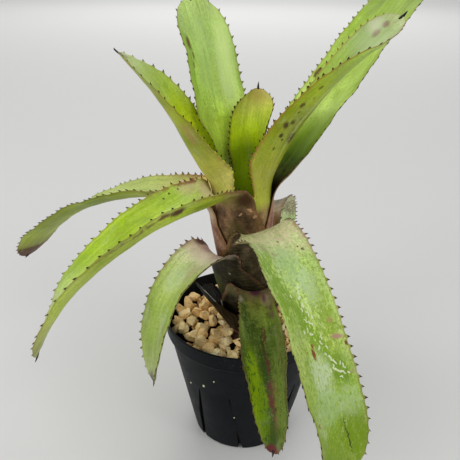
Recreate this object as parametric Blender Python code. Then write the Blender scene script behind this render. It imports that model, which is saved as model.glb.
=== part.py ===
"""A bromeliad with toothed strap leaves, planted in gravel in a round slit pot.

The floor is z = 0 and the pot's axis is x = y = 0. The viewer of the photo stands at -Y, so +X is to the
right and +Y is away. Sizes are in millimetres times MM, angles in degrees.
"""
import math
import random
from dataclasses import dataclass

import bmesh
import bpy
from mathutils import Vector

MM = 0.001
GOLDEN_ANGLE = math.radians(137.5)  # spreads points evenly over a ball

# Pot, a 10.5 cm nursery pot
POT_RIM_RADIUS = 52.5 * MM
POT_HEIGHT = 91.0 * MM
POT_WALL = 1.5 * MM
POT_BAND_DEPTH = 12.0 * MM          # the wider collar under the rim
POT_BAND_STEP = 2.0 * MM            # how far the collar stands out of the wall
POT_FOOT_RADIUS = 33.0 * MM
POT_BASE_PLATE = 2.5 * MM
POT_LIP = 0.6 * MM                  # bevel of the rim and of the foot
POT_SIDES = 48

LOBES = 4                           # bulged panels round the foot, with a slit at each edge
LOBE_AZIMUTH = 244.0
LOBE_HALF_TOP = 14.0                # half of a lobe's angle where its slits start
LOBE_HALF_FOOT = 25.0
LOBE_LIFT = 1.2 * MM                # a lobe's lower edge stays this far above the floor
CUT_RADIUS = 26.0 * MM              # slits and lobes reach in to this radius under the base
NOTCH_STEPS = 4                     # straight pieces in the arc of the cut under a lobe
SLIT_TOP = 52.0 * MM
SLIT_WIDTH_TOP = 0.7 * MM
SLIT_WIDTH_FOOT = 3.0 * MM

# Gravel
GAP = 0.3 * MM                      # left between pieces that touch
GRAVEL_LEVEL = 84.0 * MM
STONE_SIZE = 12.0 * MM
STONE_CORNERS = 11
STONE_FLATNESS = 0.8                # a stone's height, as a share of its width
STONE_REACH = (0.86, 1.08)          # how far its corners are pushed in or out, as a share of its radius
STONE_TURN = 0.3                    # how far a corner is shaken round the stone, radians
STONE_TILT = 0.4                    # how far a stone may lean, radians
STONE_TOP = 4.5 * MM                # how high the stones stand out of the level
STONE_SINK = (-1.0 * MM, 0.4 * MM)  # how much lower or higher one may lie
STONE_HALF_HEIGHT = 0.42            # from a stone's middle to its top, as a share of its size
STONE_FROM_WALL = 0.58              # the outer ring keeps this share of a stone's size from the wall
STONE_SPACING = 0.86                # between stones in a ring, as a share of a stone's size
STONE_RING_STEP = 0.92              # between rings, as a share of that spacing
STONE_SHAKE = 0.15                  # how far a stone is off its place in the ring, as a share of the spacing
INNERMOST_RING = 4.0 * MM
FILLING_SIDE_GAP = 0.45 * MM        # between the filling's flat sides and the pot's wall
HOLE_RADIUS = 15.8 * MM             # the plain hole that the stem stands in
HOLE_FLOOR = 62.0 * MM
SHEATH_CLEARANCE = 2.5 * MM         # between the stones and the hole's edge
CORE_CLEARANCE = 0.7 * MM           # between the stem's core and the sheaths round it
CORE_FOOT_DEPTH = 2.5 * MM          # the rooted foot ends this far under the stem's foot
HOLE_MOUTH = 5.0 * MM               # the hole's cutter ends this far over the rim

# Stem: the line that all the sheaths wrap, from the gravel to the middle of the vase
STEM_FOOT = Vector((5.0, -8.0, 86.0)) * MM
STEM_CROWN = Vector((-2.0, -2.0, 180.0)) * MM
CORE_TOP = 142.0 * MM
CORE_TIP_RADIUS = 2.0 * MM
CORE_SIDES = 16

# Sheaths are nested like funnels. Layer 0 is the innermost.
SHEATH_PITCH = 1.7 * MM
SHEATH_THICKNESS = 0.9 * MM
FUNNEL_MOUTH = 14.0 * MM            # radius of layer 0 far up the stem
FUNNEL_CLOSING = 20.0 * MM          # how much narrower it is at the foot
FUNNEL_HEIGHT = 38.0 * MM           # how fast it opens
LAYER_RISE = 5.2 * MM               # each layer grows from the core this much above the next one out
LOWEST_LAYER = 10
OLD_SHEATH_DEPTH = 1.5 * MM         # the dry outer sheaths start this far under the stem's foot
OLD_SHEATH_BEND = 1.6               # 1 leans straight out, more bends out towards the top
OLD_SHEATH_COLUMNS = 14
OLD_SHEATH_ROWS = 5
OLD_SHEATH_TEAR = 0.3               # how deep its torn edge is, as a share of its height
OLD_SHEATH_SHOULDER = 0.5           # how much lower it is at its sides, as a share of its height

# Blades
BLADE_THICKNESS = 1.8 * MM          # along the middle
EDGE_THICKNESS = 0.8 * MM
TOOTH_SPACING = 8.5 * MM
TOOTH_LENGTH = 1.6 * MM
TOOTH_BASE = 2.4 * MM
TOOTH_THICKNESS = 0.64 * MM
TOOTH_LEAN = 0.25                   # how far a tooth's point leans forward, as a share of its base
TOOTH_START = 0.6                   # the first teeth stand this far through the fold, as a share of it
FOLD_END = 1.05                     # cross-sections up to this share of the fold have the sheath's columns
FOLD_OPENING = 1.3                  # the arc is the blade's own from this share of the fold on
END_SPINE = 4.0 * MM
TIP_SHARE = 0.985                   # the last toothed cross-section, as a share of the blade's length
SPINE_SHARE = 0.999                 # the cross-section that the end spine grows from
DROOP_MIDDLE = 37.0 * MM            # a drooping margin hangs lowest this far beyond the crease
DROOP_REACH = 34.0 * MM             # and is back in its place this far from there
TUCK_MIDDLE = 20.0 * MM             # the same for a margin that is drawn in
TUCK_REACH = 20.0 * MM
SHEATH_COLUMNS = 10
BLADE_COLUMNS = 5
SHEATH_ROW = 12.0 * MM
FOLD_ROWS = 4


@dataclass
class Leaf:
    """One leaf: a sheath round the stem, then a blade that folds off it."""
    layer: int              # place of its sheath in the nest
    azimuth: float          # side of the stem that it grows on, counted from +X towards +Y
    swing: float            # how far the blade turns sideways by its tip
    crease: float           # height of the fold above the floor, mm
    fold: float             # length of the fold, mm
    length: float           # blade length, mm
    rise: float             # slope of the blade above level at the fold
    middle: float           # the same halfway
    end: float              # the same at the tip
    width: float            # widest arc across the blade, mm
    neck: float             # width at the fold, as a share of the widest
    widest: float           # where the blade is widest, as a share of its length
    bluntness: float        # 1 gives a straight taper, 4 a very round tip
    gutter: float           # half of the channel's angle at the fold
    gutter_end: float       # the same at the tip
    roll: float             # twist about its own length halfway
    roll_end: float         # the same at the tip
    wrap: float = 100.0     # half of the sheath's angle round the stem, at its foot
    narrowing: float = 0.55     # the same at the fold, as a share of that
    droop: float = 0.0      # how far the first margin hangs down where the blade bends over, mm
    tuck: float = 0.0       # how far it is drawn in along the fold, as a share of the half width


LEAVES = {
    "heart_leaf": Leaf(
        layer=0, azimuth=65, swing=20, crease=184, fold=15, length=35, rise=94, middle=72, end=71,
        width=32, neck=1.1, widest=0.36, bluntness=2.1, gutter=92, gutter_end=58, roll=-4, roll_end=25),
    "top_leaf": Leaf(
        layer=1, azimuth=130, swing=3, crease=196, fold=20, length=71, rise=64, middle=68, end=60,
        width=44, neck=0.92, widest=0.42, bluntness=2.7, gutter=25, gutter_end=33, roll=9, roll_end=-18),
    "upper_right_leaf": Leaf(
        layer=2, azimuth=345, swing=29, crease=179, fold=14, length=103, rise=70, middle=52, end=43,
        width=39, neck=1.15, widest=0.47, bluntness=3.7, gutter=88, gutter_end=27, roll=-7, roll_end=21),
    "top_right_leaf": Leaf(
        layer=3, azimuth=33, swing=0, crease=172, fold=12, length=157, rise=42, middle=49, end=38,
        width=49, neck=0.94, widest=0.75, bluntness=3.0, gutter=50, gutter_end=12, roll=-5, roll_end=-6),
    "upper_left_leaf": Leaf(
        layer=4, azimuth=194, swing=-27, crease=176, fold=12, length=83, rise=58, middle=61, end=33,
        width=45, neck=1.03, widest=0.25, bluntness=1.6, gutter=92, gutter_end=22, roll=-7, roll_end=5),
    "long_left_leaf": Leaf(
        layer=5, azimuth=232, swing=-29, crease=172, fold=12, length=132, rise=4, middle=-20, end=-72,
        width=46, neck=0.74, widest=0.25, bluntness=3.2, gutter=64, gutter_end=26, roll=22, roll_end=20),
    "far_left_leaf": Leaf(
        layer=6, azimuth=162, swing=-5, crease=160, fold=12, length=162, rise=4, middle=-26, end=-52,
        width=38, neck=1.07, widest=0.70, bluntness=3.4, gutter=59, gutter_end=8, roll=6, roll_end=11),
    "back_right_leaf": Leaf(
        layer=7, azimuth=75, swing=5, crease=141, fold=14, length=115, rise=8, middle=-40, end=-75,
        width=36, neck=0.95, widest=0.5, bluntness=2.6, gutter=45, gutter_end=25, roll=0, roll_end=0),
    "big_right_leaf": Leaf(
        layer=8, azimuth=278, swing=47, crease=149, fold=20, length=153, rise=40, middle=-43, end=-70,
        width=36, neck=0.93, widest=0.75, bluntness=3.6, gutter=37, gutter_end=39, roll=-14, roll_end=17,
        narrowing=0.38, droop=15, tuck=0.45),
    "low_left_leaf": Leaf(
        layer=9, azimuth=227, swing=1, crease=138, fold=12, length=87, rise=5, middle=-59, end=-87,
        width=30, neck=1.15, widest=0.58, bluntness=1.9, gutter=50, gutter_end=31, roll=14, roll_end=20,
        narrowing=0.32),
    "low_front_leaf": Leaf(
        layer=10, azimuth=274, swing=6, crease=118, fold=12, length=101, rise=-2, middle=-17, end=-102,
        width=26, neck=0.77, widest=0.51, bluntness=1.7, gutter=45, gutter_end=61, roll=21, roll_end=31,
        wrap=85),
}


@dataclass
class OldSheath:
    """The dry sheath of a leaf whose blade is gone."""
    layer: int
    azimuth: float
    wrap: float             # half of its angle round the stem
    top: float              # height of its torn edge above the floor, mm
    flare: float            # how far its top leans away from the stem, mm
    seed: int


OLD_SHEATHS = {
    "old_sheath_inner": OldSheath(layer=11, azimuth=240, wrap=80, top=112, flare=1.0, seed=3),
    "old_sheath_outer": OldSheath(layer=12, azimuth=200, wrap=58, top=121, flare=9.0, seed=5),
}


def clear_scene():
    for item in list(bpy.data.objects):
        bpy.data.objects.remove(item, do_unlink=True)


def finish_material(name, colour, roughness):
    material = bpy.data.materials.new(name)
    material.use_nodes = True
    shader = material.node_tree.nodes["Principled BSDF"]
    shader.inputs["Base Color"].default_value = (*colour, 1.0)
    shader.inputs["Roughness"].default_value = roughness
    shader.inputs["Metallic"].default_value = 0.0
    return material


def add_object(name, mesh, material):
    item = bpy.data.objects.new(name, mesh)
    bpy.context.collection.objects.link(item)
    mesh.materials.append(material)
    return item


def mesh_from(name, points, faces, smooth_angle=35.0):
    """A mesh whose faces point outwards, shaded smooth except at its sharp edges."""
    mesh = bpy.data.meshes.new(name)
    mesh.from_pydata([tuple(p) for p in points], [], faces)
    work = bmesh.new()
    work.from_mesh(mesh)
    bmesh.ops.recalc_face_normals(work, faces=work.faces)
    work.to_mesh(mesh)
    work.free()
    mesh.shade_smooth()
    mesh.set_sharp_from_angle(angle=math.radians(smooth_angle))
    return mesh


def turned(name, profile, sides, centre_at=None):
    """A turned solid. The profile runs from axis to axis, as (radius, height) points.

    centre_at gives the axis point at a height, for a stem that leans.
    """
    points = []
    faces = []
    rings = []
    for radius, height in profile:
        middle = centre_at(height) if centre_at else Vector((0.0, 0.0, height))
        if radius == 0.0:
            rings.append([len(points)])
            points.append(middle)
            continue
        first = len(points)
        for side in range(sides):
            angle = math.tau * side / sides
            points.append(middle + Vector((radius * math.cos(angle), radius * math.sin(angle), 0.0)))
        rings.append(list(range(first, first + sides)))
    for lower, upper in zip(rings, rings[1:]):
        for side in range(sides):
            following = (side + 1) % sides
            if len(lower) == 1:
                faces.append((lower[0], upper[side], upper[following]))
            elif len(upper) == 1:
                faces.append((lower[side], upper[0], lower[following]))
            else:
                faces.append((lower[side], upper[side], upper[following], lower[following]))
    return mesh_from(name, points, faces)


def eased(share):
    """0 to 1 with a soft start and a soft stop."""
    share = min(max(share, 0.0), 1.0)
    return share * share * (3.0 - 2.0 * share)


def through_three(share, start, middle, end):
    """A smooth value that is start at 0, middle at 0.5 and end at 1."""
    return (start * (1 - share) * (1 - 2 * share)
            + 4 * middle * share * (1 - share)
            + end * share * (2 * share - 1))


def stem_axis(height):
    share = (height - STEM_FOOT.z) / (STEM_CROWN.z - STEM_FOOT.z)
    return STEM_FOOT + (STEM_CROWN - STEM_FOOT) * share


def sheath_radius(layer, height):
    opening = FUNNEL_CLOSING * math.exp(-(height - STEM_FOOT.z) / FUNNEL_HEIGHT)
    return FUNNEL_MOUTH - opening + SHEATH_PITCH * layer


def layer_start(layer):
    return STEM_FOOT.z + max(LAYER_RISE * (LOWEST_LAYER - layer), -OLD_SHEATH_DEPTH)


# Pot

def pot_outer_radius(height):
    """The tapered wall under the band."""
    wall_top = POT_RIM_RADIUS - POT_BAND_STEP - POT_BAND_DEPTH * 0.1
    share = height / (POT_HEIGHT - POT_BAND_DEPTH)
    return POT_FOOT_RADIUS + (wall_top - POT_FOOT_RADIUS) * share


def pot_profile():
    band_foot = POT_HEIGHT - POT_BAND_DEPTH
    wall_top = pot_outer_radius(band_foot)
    return [
        (0.0, 0.0),
        (CUT_RADIUS, 0.0),
        (POT_FOOT_RADIUS - POT_LIP, 0.0),
        (POT_FOOT_RADIUS, POT_LIP),
        (pot_outer_radius(SLIT_TOP), SLIT_TOP),
        (wall_top, band_foot),
        (wall_top + POT_BAND_STEP, band_foot + POT_BAND_STEP),
        (POT_RIM_RADIUS - POT_LIP, POT_HEIGHT - 2 * POT_LIP),
        (POT_RIM_RADIUS, POT_HEIGHT - POT_LIP),
        (POT_RIM_RADIUS, POT_HEIGHT),
        (POT_RIM_RADIUS - POT_WALL, POT_HEIGHT),
        (wall_top - POT_WALL, band_foot - POT_WALL),
        (pot_outer_radius(POT_BASE_PLATE) - POT_WALL, POT_BASE_PLATE),
        (0.0, POT_BASE_PLATE),
    ]


def pot_inner_radius(height):
    band_foot = POT_HEIGHT - POT_BAND_DEPTH
    wall_top = pot_outer_radius(band_foot)
    if height > band_foot - POT_WALL:
        share = (height - band_foot + POT_WALL) / (POT_HEIGHT - band_foot + POT_WALL)
        return (wall_top - POT_WALL) * (1 - share) + (POT_RIM_RADIUS - POT_WALL) * share
    share = (height - POT_BASE_PLATE) / (band_foot - POT_WALL - POT_BASE_PLATE)
    return (pot_outer_radius(POT_BASE_PLATE) - POT_WALL) * (1 - share) + (wall_top - POT_WALL) * share


def box_between(points, faces, near, far):
    """Adds a six-sided block whose two ends are the four-point loops near and far."""
    first = len(points)
    points.extend(near)
    points.extend(far)
    faces.append([first + i for i in (0, 1, 2, 3)])
    faces.append([first + i for i in (7, 6, 5, 4)])
    for i in range(4):
        j = (i + 1) % 4
        faces.append([first + j, first + i, first + 4 + i, first + 4 + j])


def around(radius, azimuth, height, sideways=0.0):
    angle = math.radians(azimuth)
    return Vector((
        radius * math.cos(angle) - sideways * math.sin(angle),
        radius * math.sin(angle) + sideways * math.cos(angle),
        height))


def pot_cutters(name):
    """Two slits at the edges of each lobe."""
    points = []
    faces = []
    outside = POT_RIM_RADIUS + MM
    below = -MM
    for lobe in range(LOBES):
        centre = LOBE_AZIMUTH + 360.0 / LOBES * lobe
        for hand in (-1, 1):
            top = centre + hand * LOBE_HALF_TOP
            foot = centre + hand * LOBE_HALF_FOOT
            loops = []
            for radius in (CUT_RADIUS, outside):
                loops.append([
                    around(radius, foot, below, -SLIT_WIDTH_FOOT / 2),
                    around(radius, foot, below, SLIT_WIDTH_FOOT / 2),
                    around(radius, top, SLIT_TOP, SLIT_WIDTH_TOP / 2),
                    around(radius, top, SLIT_TOP, -SLIT_WIDTH_TOP / 2)])
            box_between(points, faces, *loops)
    return mesh_from(name, points, faces)


def notch_cutters(name):
    """The room under each lobe, which lifts its edge off the floor."""
    points = []
    faces = []
    outside = POT_RIM_RADIUS
    below = -MM
    for lobe in range(LOBES):
        centre = LOBE_AZIMUTH + 360.0 / LOBES * lobe
        first = len(points)
        for step in range(NOTCH_STEPS + 1):
            azimuth = centre + LOBE_HALF_FOOT * (2.0 * step / NOTCH_STEPS - 1.0)
            points.extend([
                around(CUT_RADIUS, azimuth, below),
                around(outside, azimuth, below),
                around(outside, azimuth, LOBE_LIFT),
                around(CUT_RADIUS, azimuth, LOBE_LIFT)])
        for step in range(NOTCH_STEPS):
            here = first + 4 * step
            for i in range(4):
                j = (i + 1) % 4
                faces.append([here + i, here + j, here + 4 + j, here + 4 + i])
        faces.append([first + i for i in (3, 2, 1, 0)])
        faces.append([first + 4 * NOTCH_STEPS + i for i in (0, 1, 2, 3)])
    return mesh_from(name, points, faces)


def cut_by(item, cutter_mesh, cutter_name):
    cutter = bpy.data.objects.new(cutter_name, cutter_mesh)
    bpy.context.collection.objects.link(cutter)
    cutter.hide_render = True
    cutter.display_type = 'WIRE'
    modifier = item.modifiers.new(cutter_name, 'BOOLEAN')
    modifier.operation = 'DIFFERENCE'
    modifier.solver = 'MANIFOLD'
    modifier.object = cutter


def build_pot():
    material = finish_material("pot_plastic", (0.022, 0.024, 0.028), 0.55)
    pot = add_object("pot", turned("pot", pot_profile(), POT_SIDES), material)
    cut_by(pot, notch_cutters("notches"), "notch_cutters")
    cut_by(pot, pot_cutters("slits"), "slit_cutters")


# Gravel

def stone_mesh(rng, size):
    """An angular stone: points spread over a ball, pushed in and out, as a convex hull."""
    work = bmesh.new()
    for index in range(STONE_CORNERS):
        height = 1.0 - 2.0 * (index + 0.5) / STONE_CORNERS
        angle = index * GOLDEN_ANGLE + rng.uniform(-STONE_TURN, STONE_TURN)
        flat = math.sqrt(1.0 - height * height)
        reach = size / 2 * rng.uniform(*STONE_REACH)
        corner = Vector((flat * math.cos(angle), flat * math.sin(angle), height * STONE_FLATNESS))
        work.verts.new(corner * reach)
    bmesh.ops.convex_hull(work, input=work.verts)
    spare = [v for v in work.verts if not v.link_faces]
    bmesh.ops.delete(work, geom=spare, context='VERTS')
    mesh = bpy.data.meshes.new("stone")
    bmesh.ops.recalc_face_normals(work, faces=work.faces)
    work.to_mesh(mesh)
    work.free()
    return mesh


def stone_places(rng):
    """Rings of stones between the hole and the pot's wall, each ring shifted and shaken."""
    ring = pot_inner_radius(GRAVEL_LEVEL) - GAP - STONE_SIZE * STONE_FROM_WALL
    spacing = STONE_SIZE * STONE_SPACING
    places = []
    while ring > INNERMOST_RING:
        count = max(3, round(math.tau * ring / spacing))
        shift = rng.uniform(0.0, math.tau)
        for index in range(count):
            angle = shift + math.tau * (index + rng.uniform(-STONE_SHAKE, STONE_SHAKE)) / count
            place = Vector((ring * math.cos(angle), ring * math.sin(angle), 0.0))
            from_stem = Vector((place.x - STEM_FOOT.x, place.y - STEM_FOOT.y)).length
            if from_stem > HOLE_RADIUS + SHEATH_CLEARANCE + STONE_SIZE / 2:
                places.append(place)
        ring -= spacing * STONE_RING_STEP
    return places


def build_gravel():
    material = finish_material("gravel_stone", (0.72, 0.56, 0.38), 0.85)
    bottom = POT_BASE_PLATE + GAP
    band_foot = POT_HEIGHT - POT_BAND_DEPTH - POT_WALL
    profile = [(0.0, bottom)]
    for height in (bottom, band_foot, GRAVEL_LEVEL):
        profile.append((pot_inner_radius(height) - FILLING_SIDE_GAP, height))
    profile.append((0.0, GRAVEL_LEVEL))
    gravel = add_object("gravel", turned("gravel", profile, POT_SIDES), material)
    rng = random.Random(7)
    stones = bpy.data.collections.new("stones")
    bpy.context.scene.collection.children.link(stones)
    for place in stone_places(rng):
        stone = bpy.data.objects.new("stone", stone_mesh(rng, STONE_SIZE))
        lift = STONE_TOP - STONE_SIZE * STONE_HALF_HEIGHT + rng.uniform(*STONE_SINK)
        stone.location = place + Vector((0.0, 0.0, GRAVEL_LEVEL + lift))
        lean = [rng.uniform(-STONE_TILT, STONE_TILT) for _ in range(2)]
        stone.rotation_euler = (*lean, rng.uniform(0.0, math.tau))
        stones.objects.link(stone)
    union = gravel.modifiers.new("stones", 'BOOLEAN')
    union.operation = 'UNION'
    union.operand_type = 'COLLECTION'
    union.collection = stones
    union.solver = 'MANIFOLD'
    hole_profile = [
        (0.0, HOLE_FLOOR),
        (HOLE_RADIUS, HOLE_FLOOR),
        (HOLE_RADIUS, POT_HEIGHT + HOLE_MOUTH),
        (0.0, POT_HEIGHT + HOLE_MOUTH),
    ]
    foot = Vector((STEM_FOOT.x, STEM_FOOT.y, 0.0))
    hole = turned("hole", hole_profile, CORE_SIDES * 2, lambda height: foot + Vector((0.0, 0.0, height)))
    apply_modifiers(gravel)
    for stone in list(stones.objects):
        bpy.data.objects.remove(stone, do_unlink=True)
    bpy.data.collections.remove(stones)
    cut_by(gravel, hole, "hole_cutter")


def apply_modifiers(item):
    graph = bpy.context.evaluated_depsgraph_get()
    mesh = bpy.data.meshes.new_from_object(item.evaluated_get(graph))
    item.modifiers.clear()
    item.data = mesh


# Stem

def build_core():
    """The short stem: a rooted foot that fills the hole, then the cone that the sheaths grow from."""
    material = finish_material("stem_core", (0.20, 0.12, 0.07), 0.8)
    under = CORE_CLEARANCE + SHEATH_THICKNESS / 2
    foot_radius = HOLE_RADIUS - GAP
    foot_top = STEM_FOOT.z - CORE_FOOT_DEPTH
    profile = [
        (0.0, HOLE_FLOOR + GAP),
        (foot_radius, HOLE_FLOOR + GAP),
        (foot_radius, foot_top),
        (sheath_radius(LOWEST_LAYER, foot_top) - under, foot_top),
    ]
    for layer in range(LOWEST_LAYER, -1, -1):
        height = layer_start(layer)
        profile.append((sheath_radius(layer, height) - under, height))
    profile.append((CORE_TIP_RADIUS, CORE_TOP))
    profile.append((0.0, CORE_TOP))

    def leaning(height):
        middle = stem_axis(max(height, STEM_FOOT.z))
        return Vector((middle.x, middle.y, height))

    add_object("stem_core", turned("stem_core", profile, CORE_SIDES, leaning), material)


# Leaves

@dataclass
class Row:
    """One cross-section of a leaf."""
    place: Vector
    along: Vector
    side: Vector
    inner: Vector
    half_width: float
    half_angle: float
    columns: int
    toothed: bool
    droop: float = 0.0
    tuck: float = 0.0

    def point(self, across, lift=0.0):
        """A point at across, -1 to 1 from edge to edge, lifted towards the hollow side."""
        angle = across * self.half_angle
        bend = self.half_width / self.half_angle
        normal = self.inner * math.cos(angle) - self.side * math.sin(angle)
        drawn_in = 1.0 - self.tuck * max(0.0, -across)
        offset = self.side * (bend * math.sin(angle) * drawn_in) + self.inner * (bend * (1.0 - math.cos(angle)))
        offset.z -= self.droop * ((1.0 - across) / 2) ** 2
        return self.place + offset + normal * lift


def section_frame(azimuth, slope, roll):
    """Directions along, across and towards the hollow side, for a heading given in radians."""
    along = Vector((
        math.cos(azimuth) * math.cos(slope), math.sin(azimuth) * math.cos(slope), math.sin(slope)))
    side = Vector((-math.sin(azimuth), math.cos(azimuth), 0.0))
    inner = along.cross(side)
    rolled_side = side * math.cos(roll) + inner * math.sin(roll)
    rolled_inner = inner * math.cos(roll) - side * math.sin(roll)
    return along, rolled_side, rolled_inner


def blade_width(leaf, share):
    if share < leaf.widest:
        narrowing = (leaf.widest - share) / leaf.widest
        profile = 1.0 - (1.0 - leaf.neck) * narrowing ** 2
    else:
        beyond = (share - leaf.widest) / (1.0 - leaf.widest)
        profile = max(0.0, 1.0 - beyond ** leaf.bluntness) ** 0.6
    return leaf.width * MM * profile


def sheath_rows(leaf):
    """Level arcs round the stem, which narrow towards the fold."""
    azimuth = math.radians(leaf.azimuth)
    out = Vector((math.cos(azimuth), math.sin(azimuth), 0.0))
    start = layer_start(leaf.layer)
    crease = leaf.crease * MM
    count = max(3, round((crease - start) / SHEATH_ROW))
    along, side, inner = section_frame(azimuth, math.pi / 2, 0.0)
    rows = []
    for index in range(count + 1):
        share = index / count
        height = start + (crease - start) * share
        radius = sheath_radius(leaf.layer, height)
        place = stem_axis(height) + out * radius
        half_angle = math.radians(leaf.wrap) * (1.0 - (1.0 - leaf.narrowing) * share ** 2)
        rows.append(Row(place, along, side, inner, radius * half_angle, half_angle, SHEATH_COLUMNS, False))
    return rows


def sheath_slope(leaf):
    """The slope of the sheath's middle line at the fold, in radians."""
    azimuth = math.radians(leaf.azimuth)
    out = Vector((math.cos(azimuth), math.sin(azimuth), 0.0))
    crease = leaf.crease * MM
    run = stem_axis(crease + MM) - stem_axis(crease)
    run += out * (sheath_radius(leaf.layer, crease + MM) - sheath_radius(leaf.layer, crease))
    return math.asin(run.normalized().z)


def blade_shares(leaf):
    """Lengths from the crease at which the fold and the blade have a cross-section, in metres."""
    fold = leaf.fold * MM
    length = leaf.length * MM
    marks = [fold * (index + 1) / FOLD_ROWS for index in range(FOLD_ROWS)]
    rows = round(length / TOOTH_SPACING)
    for index in range(1, rows + 1):
        share = index / rows
        marks.append(fold + length * min(share, TIP_SHARE))
    marks.append(fold + length * SPINE_SHARE)
    return marks


def leaf_rows(leaf):
    rows = sheath_rows(leaf)
    last = rows[-1]
    first_slope = sheath_slope(leaf)
    base_azimuth = math.radians(leaf.azimuth)
    fold = leaf.fold * MM
    length = leaf.length * MM
    place = last.place.copy()
    walked = 0.0
    step = 0.5 * MM
    for mark in blade_shares(leaf):
        while walked < mark:
            stride = min(step, mark - walked)
            walked += stride
            share = max(0.0, (walked - fold) / length)
            folded = eased(walked / fold)
            blade_slope = math.radians(through_three(share, leaf.rise, leaf.middle, leaf.end))
            path_slope = first_slope * (1 - folded) + blade_slope * folded
            section_slope = math.pi / 2 * (1 - folded) + blade_slope * folded
            azimuth = base_azimuth + math.radians(leaf.swing) * share ** 1.5
            roll = math.radians(through_three(share, 0.0, leaf.roll, leaf.roll_end)) * folded
            heading = section_frame(azimuth, path_slope, 0.0)[0]
            place = place + heading * stride
            along, side, inner = section_frame(azimuth, section_slope, roll)
            if walked >= mark - 1e-9:
                break
        opened = eased(walked / (fold * FOLD_OPENING))
        gutter = leaf.gutter + (leaf.gutter_end - leaf.gutter) * share
        half_angle = last.half_angle * (1 - opened) + math.radians(gutter) * opened
        half_width = last.half_width * (1 - opened) + blade_width(leaf, share) / 2 * opened
        in_fold = walked < fold * FOLD_END
        columns = SHEATH_COLUMNS if in_fold else BLADE_COLUMNS
        toothed = walked > fold * TOOTH_START and share <= TIP_SHARE
        droop = leaf.droop * MM * eased(1.0 - abs(walked - DROOP_MIDDLE) / DROOP_REACH)
        tuck = leaf.tuck * eased(1.0 - abs(walked - TUCK_MIDDLE) / TUCK_REACH)
        rows.append(Row(place.copy(), along, side, inner, half_width, half_angle, columns, toothed, droop, tuck))
    return rows


def thickness(row, across):
    """Thick along the middle of a blade, thin at its edges and in the sheath."""
    middle = SHEATH_THICKNESS if row.columns == SHEATH_COLUMNS else BLADE_THICKNESS
    edge = min(middle, EDGE_THICKNESS)
    return edge + (middle - edge) * (1.0 - across * across)


class LeafMesh:
    """Both faces of a leaf, built alike and joined round the outline."""

    def __init__(self):
        self.points = []
        self.faces = []

    def pair(self, row, across):
        """Adds the upper and the lower point of a place on the leaf, and gives the upper one's number."""
        half = thickness(row, across) / 2
        self.points.append(row.point(across, half))
        self.points.append(row.point(across, -half))
        return len(self.points) - 2

    def tooth_pair(self, place, normal):
        """The same for a place on a tooth or a spine, which is thinner."""
        self.points.append(place + normal * TOOTH_THICKNESS / 2)
        self.points.append(place - normal * TOOTH_THICKNESS / 2)
        return len(self.points) - 2

    def skin(self, *corners):
        self.faces.append(tuple(corners))
        self.faces.append(tuple(corner + 1 for corner in reversed(corners)))

    def wall(self, first, second):
        self.faces.append((second, first, first + 1))
        self.faces.append((second, first + 1, second + 1))


def add_edge_cell(leaf_mesh, lower, upper, low_row, high_row, hand):
    """The outline from one row to the next, with a tooth that starts at the lower row."""
    outer_low, inner_low = lower
    outer_high, inner_high = upper
    start = low_row.point(hand)
    stop = high_row.point(hand)
    run = stop - start
    root = start + run.normalized() * min(TOOTH_BASE, run.length / 2)
    angle = hand * low_row.half_angle
    outwards = (low_row.side * math.cos(angle) + low_row.inner * math.sin(angle)) * hand
    normal = low_row.inner * math.cos(angle) - low_row.side * math.sin(angle)
    tip_place = (start + root) / 2 + outwards * TOOTH_LENGTH + run.normalized() * TOOTH_BASE * TOOTH_LEAN
    tip = leaf_mesh.tooth_pair(tip_place, normal)
    heel = leaf_mesh.tooth_pair(root, normal)
    if hand > 0:
        leaf_mesh.skin(inner_low, outer_low, heel)
        leaf_mesh.skin(outer_low, tip, heel)
        leaf_mesh.skin(inner_low, heel, inner_high)
        leaf_mesh.skin(inner_high, heel, outer_high)
        leaf_mesh.wall(outer_low, tip)
        leaf_mesh.wall(tip, heel)
        leaf_mesh.wall(heel, outer_high)
    else:
        leaf_mesh.skin(heel, outer_low, inner_low)
        leaf_mesh.skin(heel, tip, outer_low)
        leaf_mesh.skin(inner_high, heel, inner_low)
        leaf_mesh.skin(outer_high, heel, inner_high)
        leaf_mesh.wall(tip, outer_low)
        leaf_mesh.wall(heel, tip)
        leaf_mesh.wall(outer_high, heel)


def leaf_mesh(name, leaf):
    rows = leaf_rows(leaf)
    build = LeafMesh()
    grid = []
    for row in rows:
        grid.append([build.pair(row, 2.0 * column / row.columns - 1.0) for column in range(row.columns + 1)])
    for index in range(len(rows) - 1):
        low, high = grid[index], grid[index + 1]
        low_row, high_row = rows[index], rows[index + 1]
        toothed = high_row.toothed and low_row.columns == high_row.columns
        columns = high_row.columns
        ratio = low_row.columns // high_row.columns
        for column in range(columns):
            at_edge = column in (0, columns - 1)
            if toothed and at_edge:
                continue
            if ratio == 1:
                build.skin(low[column], low[column + 1], high[column + 1])
                build.skin(low[column], high[column + 1], high[column])
            else:
                build.skin(low[2 * column], low[2 * column + 1], high[column])
                build.skin(low[2 * column + 1], high[column + 1], high[column])
                build.skin(low[2 * column + 1], low[2 * column + 2], high[column + 1])
        if toothed:
            add_edge_cell(build, (low[0], low[1]), (high[0], high[1]), low_row, high_row, -1)
            add_edge_cell(build, (low[-1], low[-2]), (high[-1], high[-2]), low_row, high_row, 1)
        else:
            build.wall(high[0], low[0])
            build.wall(low[-1], high[-1])
    for left, right in zip(grid[0], grid[0][1:]):
        build.wall(left, right)
    last = rows[-1]
    spine = build.tooth_pair(last.place + last.along * END_SPINE, last.inner)
    for left, right in zip(grid[-1], grid[-1][1:]):
        build.skin(left, right, spine)
    build.wall(spine, grid[-1][0])
    build.wall(grid[-1][-1], spine)
    return mesh_from(name, build.points, build.faces, 60.0)


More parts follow.
